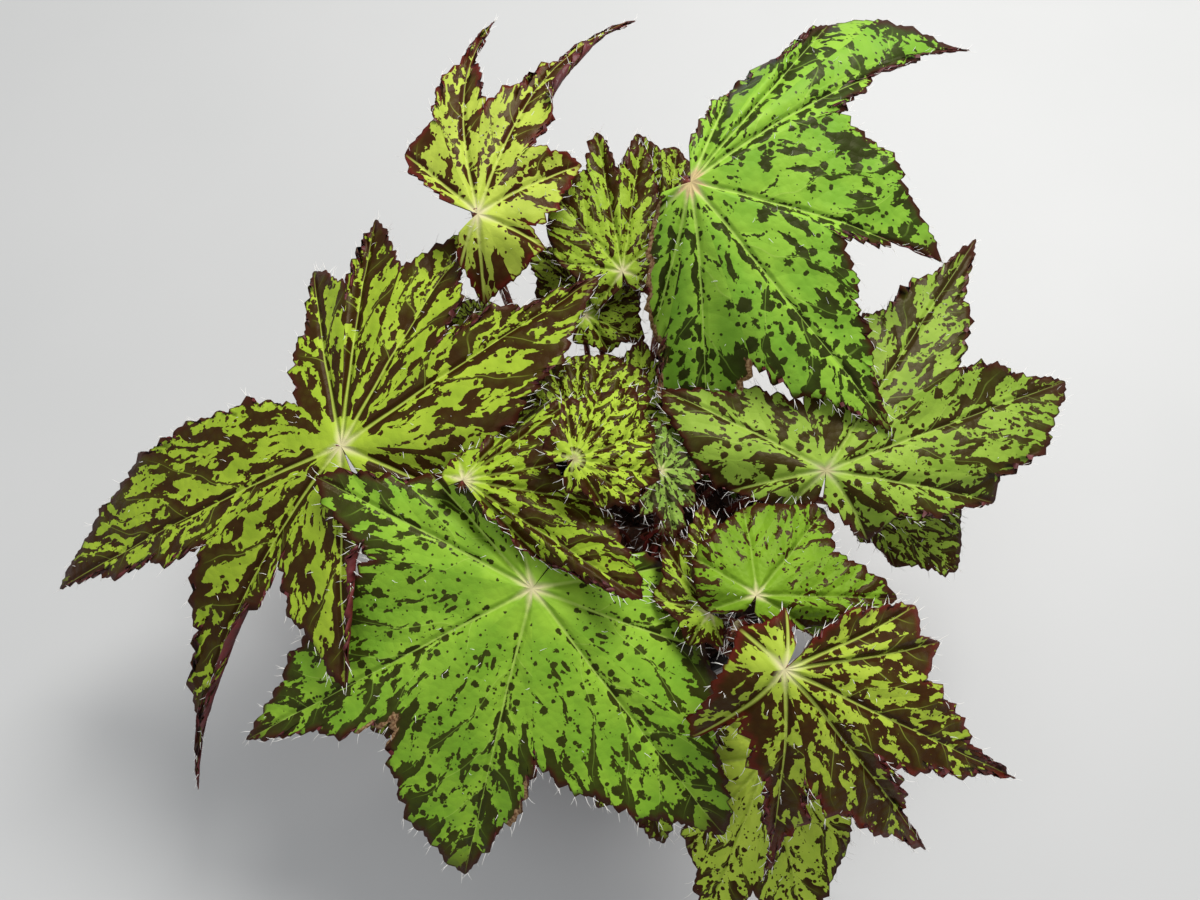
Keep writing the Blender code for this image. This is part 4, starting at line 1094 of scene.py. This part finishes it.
def distanceTo(line):
    # a function that gives how far a flat point is from this line of points
    tree = KDTree(len(line))
    for index, point in enumerate(line):
        tree.insert(point, index)
    tree.balance()

    def distance(point):
        _, near, best = tree.find(point)
        for start, end in ((near - 1, near), (near, near + 1)):
            if start >= 0 and end < len(line):
                along = line[end] - line[start]
                if along.length_squared > 0:
                    share = min(1, max(0, (point - line[start]).dot(along) / along.length_squared))
                    best = min(best, (point - line[start] - along * share).length)
        return best

    return distance


def makeBlade(name, leaf, chance):
    # a grid rolled into a fan about the hub, as fine as the small teeth
    edge = fineEdge(leaf, chance)
    widest = max(one.reach for one in leaf.lobes)
    rings = leafDetail["smallRings"] if widest < leafDetail["smallReach"] else leafDetail["rings"]
    shares = [1 - (1 - row / rings) ** leafDetail["crowd"] for row in range(rings + 1)]
    toothRoot = leafDetail["toothRoot"]
    rays = [Vector((math.cos(heading), math.sin(heading))) * reach for heading, reach, _, _ in edge]
    toMargin = distanceTo([(ray + tooth).to_3d() for ray, (_, _, tooth, _) in zip(rays, edge)])
    bm = bmesh.new()
    bmesh.ops.create_grid(bm, x_segments=len(edge) - 1, y_segments=rings, size=1)
    lobeUv, edgeUv, wearUv = (bm.loops.layers.uv.new(key) for key in ("lobe", "edge", "wear"))
    place = leafFrame(leaf)
    known = [envelope(leaf, math.degrees(heading)) for heading, _, _, _ in edge]
    where = {}
    for vertex in bm.verts:
        column = round((vertex.co.x + 1) / 2 * (len(edge) - 1))
        row = round((vertex.co.y + 1) / 2 * rings)
        heading, _, tooth, _ = edge[column]
        flat = rays[column] * shares[row] + tooth * between(shares[row], toothRoot, 1)
        margin = 0 if row == rings else toMargin(flat.to_3d())
        found = known[column]
        if row and shares[row] > toothRoot:
            heading = headingOf(flat, heading)
            found = envelope(leaf, math.degrees(heading))
        wear = wearAt(name, math.degrees(heading), flat.length / found[0], found[3], margin)
        where[vertex] = (column, flat, margin, wear)
        vertex.co = place @ onBlade(name, leaf, heading, flat.length, found) * mm
    unit = 0.1 * shrink  # the maps count in centimetres
    for face in bm.faces:
        columns = [where[loop.vert][0] for loop in face.loops]
        one = leaf.lobes[known[round(sum(columns) / 4)][4]]
        axis = polar(one.heading, 1)
        for loop in face.loops:
            _, flat, margin, wear = where[loop.vert]
            loop[lobeUv].uv = (flat.dot(axis) * unit, (flat.y * axis.x - flat.x * axis.y) * unit)
            loop[edgeUv].uv = (margin * unit, flat.length * unit)
            loop[wearUv].uv = wear
    bmesh.ops.remove_doubles(bm, verts=bm.verts, dist=1e-6)
    bmesh.ops.recalc_face_normals(bm, faces=bm.faces)
    if sum(face.normal.z * face.calc_area() for face in bm.faces) < 0:
        bmesh.ops.reverse_faces(bm, faces=bm.faces)
    mesh = toMesh(bm, "blade_" + name)
    for material in (makeLeafMaterial(name, leaf, leafFinish), underMaterial, rimMaterial):
        mesh.materials.append(material)
    piece = newPiece("blade_" + name, mesh, slotOf(name), "leaf_" + name)
    wall = piece.modifiers.new("thickness", "SOLIDIFY")
    wall.thickness = leafDetail["thickness"] * mm
    wall.offset = -1
    wall.material_offset = 1
    wall.material_offset_rim = 2
    flats = [(ray + tooth, heading, isTip) for ray, (heading, _, tooth, isTip) in zip(rays, edge)]
    return [(headingOf(flat, heading), flat.length, isTip) for flat, heading, isTip in flats]


# Stalks rise from the soil or the creeping stem and meet the blade from below

stalkDetail = {
    "depth": 7, "soilRise": 1.5, "stemRise": 9.5,  # how deep the foot is, and where it comes out
    "clear": 2, "neck": (6, 1.8), "through": 0.35,  # above the soil, below the hub, into the blade
    "taper": 0.75, "flare": 0.25, "rise": 0.42, "drop": 0.34, "steps": 8, "resolution": 4,
    "roughness": 0.45, "specular": 0.4, "colours": ((0.10, 0.018, 0.012), (0.23, 0.045, 0.022)),
    "stretch": (1, 1, 0.18), "streaks": (420, 0.35, 0.7),
    "flecks": (900, 0.60, 0.66, 2), "fleckColour": (0.30, 0.24, 0.09), "fleckShare": 0.6,
    "bump": (0.0003, 0.5),
}


def through(points, steps):
    # a smooth line through these points
    path = [Vector(p) for p in points]
    ends = [2 * path[0] - path[1], *path, 2 * path[-1] - path[-2]]
    made = []
    for before, start, end, after in zip(ends, ends[1:], ends[2:], ends[3:]):
        for count in range(steps):
            t = count / steps
            bend = (2 * before - 5 * start + 4 * end - after) * t**2
            twist = (3 * start - before - 3 * end + after) * t**3
            made.append(0.5 * (2 * start + (end - before) * t + bend + twist))
    return made + [path[-1]]


def stalkPath(leaf, values):
    x, y, ground = leaf.foot
    top = soilTop + (values["stemRise"] if ground == "stem" else values["soilRise"])
    foot = Vector((x, y, top - values["depth"]))
    hub = drawnPlace(leaf.hub)
    up = leafFrame(leaf).to_3x3() @ Vector((0, 0, 1))
    above = Vector((x, y, top + values["clear"]))
    lower = above.lerp(hub, 0.3)
    lower.z = above.z + values["rise"] * (hub.z - above.z)
    last = hub - up * values["drop"] * (hub - foot).length
    middle = [drawnPlace(point) for point in leaf.via] or [lower.lerp(last, 0.5)]
    neck = [hub - up * below for below in values["neck"]]
    path = through([above, *middle, *neck], values["steps"])
    return [foot, *path, hub - up * values["through"]]


def curveMesh(name, lines, thickness, resolution, capped):
    # round tubes along lines of (point, radius), in millimetres, as one mesh
    curve = bpy.data.curves.new(name, "CURVE")
    curve.dimensions = "3D"
    curve.bevel_depth = thickness * mm
    curve.bevel_resolution = resolution
    curve.use_fill_caps = capped
    for line in lines:
        spline = curve.splines.new("POLY")
        spline.points.add(len(line) - 1)
        for point, (place, radius) in zip(spline.points, line):
            point.co = (*(place * mm), 1)
            point.radius = radius
    holder = bpy.data.objects.new(name, curve)
    mesh = bpy.data.meshes.new_from_object(holder)
    bpy.data.objects.remove(holder)
    mesh.name = name
    mesh.materials.clear()
    return mesh


def tubeMesh(name, points, radii, resolution):
    mesh = curveMesh(name, [list(zip(points, radii))], 1, resolution, True)
    bm = bmesh.new()
    bm.from_mesh(mesh)
    bmesh.ops.remove_doubles(bm, verts=bm.verts, dist=1e-6)
    bmesh.ops.recalc_face_normals(bm, faces=bm.faces)
    for face in bm.faces:
        face.smooth = True
    bm.to_mesh(mesh)
    bm.free()
    return mesh


def makeStalkMaterial(values):
    material, tree, shader = newMaterial("stalk_skin", values["roughness"])
    shader.inputs["Specular IOR Level"].default_value = values["specular"]
    inputs = {"Vector": objectPlace(tree), "Scale": values["stretch"]}
    drawnOut = addNode(tree, "ShaderNodeMapping", inputs).outputs[0]
    blend = patches(tree, drawnOut, *values["streaks"])
    colour = mixColour(tree, blend, *values["colours"])
    flecks = calc(tree, "MULTIPLY", patches(tree, drawnOut, *values["flecks"]), values["fleckShare"])
    colour = mixColour(tree, flecks, colour, values["fleckColour"])
    finish(tree, shader, colour, blend, *values["bump"])
    return material


stalkMaterial = makeStalkMaterial(stalkDetail)


def makeStalk(name, leaf, values):
    path = stalkPath(leaf, values)
    last = len(path) - 1
    radii = []
    for index in range(last + 1):
        radius = leaf.stalk * (1 - (1 - values["taper"]) * index / last)
        flare = 1 + values["flare"] * between(index / (last - 1), 0.9, 1)
        radii.append(radius * (flare if index < last else 0.5))
    mesh = tubeMesh("stalk_" + name, path, radii, values["resolution"])
    mesh.materials.append(stalkMaterial)
    newPiece("stalk_" + name, mesh, slotOf(name), "leaf_" + name)
    return path, radii


# Fine pale hairs on the margins, the veins and the stalks

hairDetail = {
    "radius": 0.112, "taper": (1.0, 0.8, 0.25), "curl": 0.2, "faceCurl": 0.4, "ribCurl": 0.3,
    "marginLength": (2.4, 4.8), "faceLength": (1.2, 3.0), "stalkLength": (1.6, 3.6),
    "marginLean": (0.7, 0.5), "faceLean": 0.5, "stalkLean": (-0.5, 0.3),
    "second": 0.5,  # chance of a second hair on a tooth
    "faceEach": 22, "downy": 4,  # hairs on a face 40 wide, and times as many on a folded leaf
    "faceSpan": (0.15, 0.97), "ribSpan": (0.06, 0.88), "ribSpread": 0.4,
    "ribGap": 2.2, "stalkGap": 0.75,
}
hairMaterial = makeMottledMaterial("pale_hair", 0.4, 120, (0.90, 0.87, 0.81), (0.98, 0.96, 0.93))


def scatter(chance, size):
    return Vector([chance.gauss(0, size) for _ in range(3)])


def hairLine(root, way, lengths, curl, chance):
    # the three points of one hair, with their shares of its radius
    length = chance.uniform(*lengths)
    spread = scatter(chance, 1)
    spread -= way * spread.dot(way)
    spread = spread.normalized() if spread.length > 0.01 else Vector((0, 0, 1))
    middle = root + way * length * 0.5 + spread * length * curl * 0.25
    end = root + way * length * 0.95 + spread * length * curl
    return list(zip((root - way * 0.2, middle, end), hairDetail["taper"]))


def bladeHairs(name, leaf, edge, values, chance):
    place = leafFrame(leaf)
    turnOnly = place.to_3x3()
    leafUp = turnOnly @ Vector((0, 0, 1))
    lines = []

    def at(heading, reach):
        return place @ onBlade(name, leaf, heading, reach)

    aside, upward = values["marginLean"]
    for heading, reach, isTip in edge:
        if not isTip:
            continue
        for _ in range(1 + (chance.random() < values["second"])):
            root = at(heading, reach)
            outward = (root - at(heading, reach * 0.94)).normalized()
            sideways = turnOnly @ Vector((-math.sin(heading), math.cos(heading), 0))
            way = outward + sideways * chance.uniform(-aside, aside)
            way += leafUp * chance.uniform(-upward, upward)
            way.normalize()
            lines.append(hairLine(root, way, values["marginLength"], values["curl"], chance))
    width = sum(reach for _, reach, _ in edge) / len(edge)
    downy = values["downy"] if leaf.fold > 0.1 else 1
    for _ in range(int(values["faceEach"] * downy * width / 40)):
        heading, reach, _ = chance.choice(edge)
        reach *= chance.uniform(*values["faceSpan"]) ** 0.7
        root = at(heading, reach)
        up = (at(heading + 0.02, reach) - root).cross(at(heading, reach + 2) - root).normalized()
        if up.dot(leafUp) < 0:
            up = -up
        way = (up + scatter(chance, values["faceLean"])).normalized()
        lines.append(hairLine(root, way, values["faceLength"], values["faceCurl"], chance))
    headings = [heading for heading, _, _ in edge]
    start, span = values["ribSpan"]
    spread = values["ribSpread"]
    for one in leaf.lobes:
        count = int(one.reach * shrink / values["ribGap"])
        for index in range(count):
            reach = one.reach * (start + span * index / count)
            heading = math.radians(one.heading) + chance.uniform(-spread, spread) / reach
            nearest = bisect(headings, heading)
            if reach > 0.97 * min(row[1] for row in edge[max(0, nearest - 3):nearest + 3]):
                continue  # a hooked lobe's midrib leaves its outline
            root = at(heading, reach) - leafUp * leafDetail["thickness"]
            way = (scatter(chance, values["faceLean"]) - leafUp).normalized()
            lines.append(hairLine(root, way, values["faceLength"], values["ribCurl"], chance))
    return lines


def stalkHairs(path, radii, values, chance):
    lines = []
    for start, end, radius in zip(path[1:], path[2:], radii[1:]):
        along = end - start
        for _ in range(max(1, round(along.length / values["stalkGap"]))):
            root = start + along * chance.random()
            way = scatter(chance, 1)
            way -= along * way.dot(along) / along.length_squared
            way.normalize()
            leaning = way + along.normalized() * chance.uniform(*values["stalkLean"])
            leaning.normalize()
            root += way * radius
            lines.append(hairLine(root, leaning, values["stalkLength"], values["curl"], chance))
    return lines


hairCount = 0
for number, (name, leaf) in enumerate(leafShapes.items()):
    chance = random.Random(100 + number)
    edge = makeBlade(name, leaf, chance)
    path, radii = makeStalk(name, leaf, stalkDetail)
    hairs = bladeHairs(name, leaf, edge, hairDetail, chance) + stalkHairs(path, radii, hairDetail, chance)
    mesh = curveMesh("hairs_" + name, hairs, hairDetail["radius"], 0, False)
    mesh.materials.append(hairMaterial)
    newPiece("hairs_" + name, mesh, slotOf(name))
    hairCount += len(hairs)
print("leaves made:", len(leafShapes), "with", hairCount, "hairs")

# The creeping stem, knobbly with old leaf scars

stemPlan = {
    "points": ((-39, -3), (-26, -1), (-12, 2), (2, 1), (16, -1), (32, 2)),
    "radii": (5.5, 8.5, 8.0, 9.0, 8.2, 5.0), "rise": 1.5, "steps": 10, "resolution": 8,
    "knobs": ((1, 160), (0.5, 420)), "knobHeight": 0.6,
    "roughness": 0.7, "colours": ((0.09, 0.032, 0.016), (0.26, 0.13, 0.06)),
    "bark": (160, 0.35, 0.65, 4), "ringWave": {"Scale": 60, "Distortion": 5},
    "ringColour": (0.05, 0.02, 0.012), "ringShare": 0.35, "bump": (0.0008, 0.8),
}


def makeStemMaterial(values):
    material, tree, shader = newMaterial("stem_bark", values["roughness"])
    place = objectPlace(tree)
    blend = patches(tree, place, *values["bark"])
    colour = mixColour(tree, blend, *values["colours"])
    inputs = {"Vector": place, **values["ringWave"]}
    rings = addNode(tree, "ShaderNodeTexWave", inputs).outputs["Fac"]
    ringed = calc(tree, "MULTIPLY", rings, values["ringShare"])
    colour = mixColour(tree, ringed, colour, values["ringColour"])
    finish(tree, shader, colour, calc(tree, "ADD", blend, rings), *values["bump"])
    return material


def lumps(place, waves):
    # an uneven height here, from waves of (share, fineness)
    return sum(share * noise.noise(place * fineness) for share, fineness in waves)


def makeStem(values):
    points = [(x, y, soilTop + values["rise"]) for x, y in values["points"]]
    path = through(points, values["steps"])
    radii = [point.x for point in through([(radius, 0, 0) for radius in values["radii"]], values["steps"])]
    mesh = tubeMesh("creeping_stem_bark", path, radii, values["resolution"])
    for vertex in mesh.vertices:
        shift = lumps(vertex.co, values["knobs"])
        vertex.co += vertex.normal * shift * values["knobHeight"] * mm
    mesh.materials.append(makeStemMaterial(values))
    newPiece("creeping_stem_bark", mesh, "creeping_stem", "creeping_stem")


makeStem(stemPlan)
print("creeping stem made")

# The soil: a rough, crumbly top on the pot's fill

soilPlan = {
    "dome": 3, "domeReach": 54.5, "rings": (0, 4, 8, 12, 16, 20, 24, 28, 32, 36, 40, 44, 48, 51),
    "steps": 96, "rough": 1.1, "roughReach": 51.5, "clods": ((1, 170), (0.6, 430)),
    "shoulder": 1.5, "roughDepth": 0.5,  # below the rim: where the side starts, and the rough top ends
    "foot": 3.3, "wall": 2.7, "potFoot": 45, "potTop": 58.8, "potHeight": 108,  # as the pot holds it
    "crumbs": 700, "crumbSize": (0.6, 1.7), "crumbReach": 50, "crumbRise": 0.2, "seed": 5,
    "crumbStretch": ((0.7, 1.5), (0.7, 1.2), (0.5, 0.9)),
    "roughness": 0.95, "colours": ((0.016, 0.009, 0.006), (0.085, 0.046, 0.026)),
    "clumps": (260, 0.35, 0.7, 5, 0.7), "grain": (700, 4), "bump": (0.001, 1.0),
}


def makeSoilMaterial(values):
    material, tree, shader = newMaterial("soil_crumb", values["roughness"])
    place = objectPlace(tree)
    colour = mixColour(tree, patches(tree, place, *values["clumps"]), *values["colours"])
    finish(tree, shader, colour, fineNoise(tree, place, *values["grain"]), *values["bump"])
    return material


def makeSoil(values):
    material = makeSoilMaterial(values)

    def fillRadius(height):
        widening = values["potTop"] - values["potFoot"]
        return values["potFoot"] + widening * height / values["potHeight"] - values["wall"]

    def domeHeight(radius):
        return soilTop + values["dome"] * (1 - (radius / values["domeReach"]) ** 2)

    shoulder = soilTop - values["shoulder"]
    profile = [(radius, domeHeight(radius)) for radius in values["rings"]]
    profile += [(fillRadius(soilTop) - 1, soilTop), (fillRadius(shoulder), shoulder)]
    profile += [(fillRadius(values["foot"]), values["foot"]), (0, values["foot"])]
    bm = bmesh.new()
    corners = [bm.verts.new((radius * mm, 0, height * mm)) for radius, height in profile]
    edges = [bm.edges.new(pair) for pair in zip(corners, corners[1:])]
    bmesh.ops.spin(bm, geom=corners + edges, cent=(0, 0, 0), axis=(0, 0, 1), angle=math.tau,
                   steps=values["steps"], use_merge=True)
    bmesh.ops.remove_doubles(bm, verts=bm.verts, dist=1e-6)
    bmesh.ops.recalc_face_normals(bm, faces=bm.faces)
    for vertex in bm.verts:
        onTop = vertex.co.z > (soilTop - values["roughDepth"]) * mm
        if onTop and vertex.co.xy.length < values["roughReach"] * mm:
            vertex.co.z += lumps(vertex.co, values["clods"]) * values["rough"] * mm
    mesh = toMesh(bm, "soil_fill")
    mesh.materials.append(material)
    newPiece("soil_fill", mesh, "soil", "soil")

    chance = random.Random(values["seed"])
    bm = bmesh.new()
    for _ in range(values["crumbs"]):
        angle = chance.uniform(0, math.tau)
        radius = values["crumbReach"] * math.sqrt(chance.random())
        size = chance.uniform(*values["crumbSize"])
        height = domeHeight(radius) + size * values["crumbRise"]
        place = Vector((radius * math.cos(angle), radius * math.sin(angle), height))
        turn = chance.uniform(0, 6)
        turn = Matrix.Rotation(turn, 4, Vector((chance.random(), chance.random(), 1)).normalized())
        scale = Matrix.Diagonal([*(chance.uniform(*limits) for limits in values["crumbStretch"]), 1])
        bmesh.ops.create_icosphere(bm, subdivisions=1, radius=size * mm,
                                   matrix=Matrix.Translation(place * mm) @ turn @ scale)
    mesh = toMesh(bm, "soil_crumbs", smooth=False)
    mesh.materials.append(material)
    newPiece("soil_crumbs", mesh, "soil")


makeSoil(soilPlan)
print("soil made")

# The pot keeps its solid, in plain matt charcoal plastic with a little dust

potFinish = {
    "colours": ((0.026, 0.025, 0.025), (0.040, 0.039, 0.038)), "grain": (900, 2),
    "dust": (35, 0.45, 0.75, 4), "dustColour": (0.09, 0.085, 0.08), "dustShare": 0.25,
    "roughness": (0.5, 0.68), "bump": (0.0002, 0.3),
}


def makePotMaterial(values):
    material, tree, shader = newMaterial("pot_matt_plastic", values["roughness"][0])
    place = objectPlace(tree)
    grain = fineNoise(tree, place, *values["grain"])
    dust = patches(tree, place, *values["dust"])
    colour = mixColour(tree, grain, *values["colours"])
    dusty = calc(tree, "MULTIPLY", dust, values["dustShare"])
    colour = mixColour(tree, dusty, colour, values["dustColour"])
    feed(tree, shader.inputs["Roughness"], step(tree, dust, 0, 1, *values["roughness"]))
    finish(tree, shader, colour, grain, *values["bump"])
    return material


potMaterial = makePotMaterial(potFinish)
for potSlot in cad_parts["pot"].material_slots:
    potSlot.material = potMaterial
print("pot finished")

# A plain pale floor

floorPlan = {"size": 3, "mottle": (0.5, 6, (0.52, 0.525, 0.52), (0.56, 0.56, 0.556))}


def makeFloor(values):
    bm = bmesh.new()
    bmesh.ops.create_grid(bm, x_segments=1, y_segments=1, size=values["size"])
    mesh = toMesh(bm, "floor", smooth=False)
    mesh.materials.append(makeMottledMaterial("pale_floor", *values["mottle"]))
    addObject("floor", mesh)


makeFloor(floorPlan)
print("floor laid")
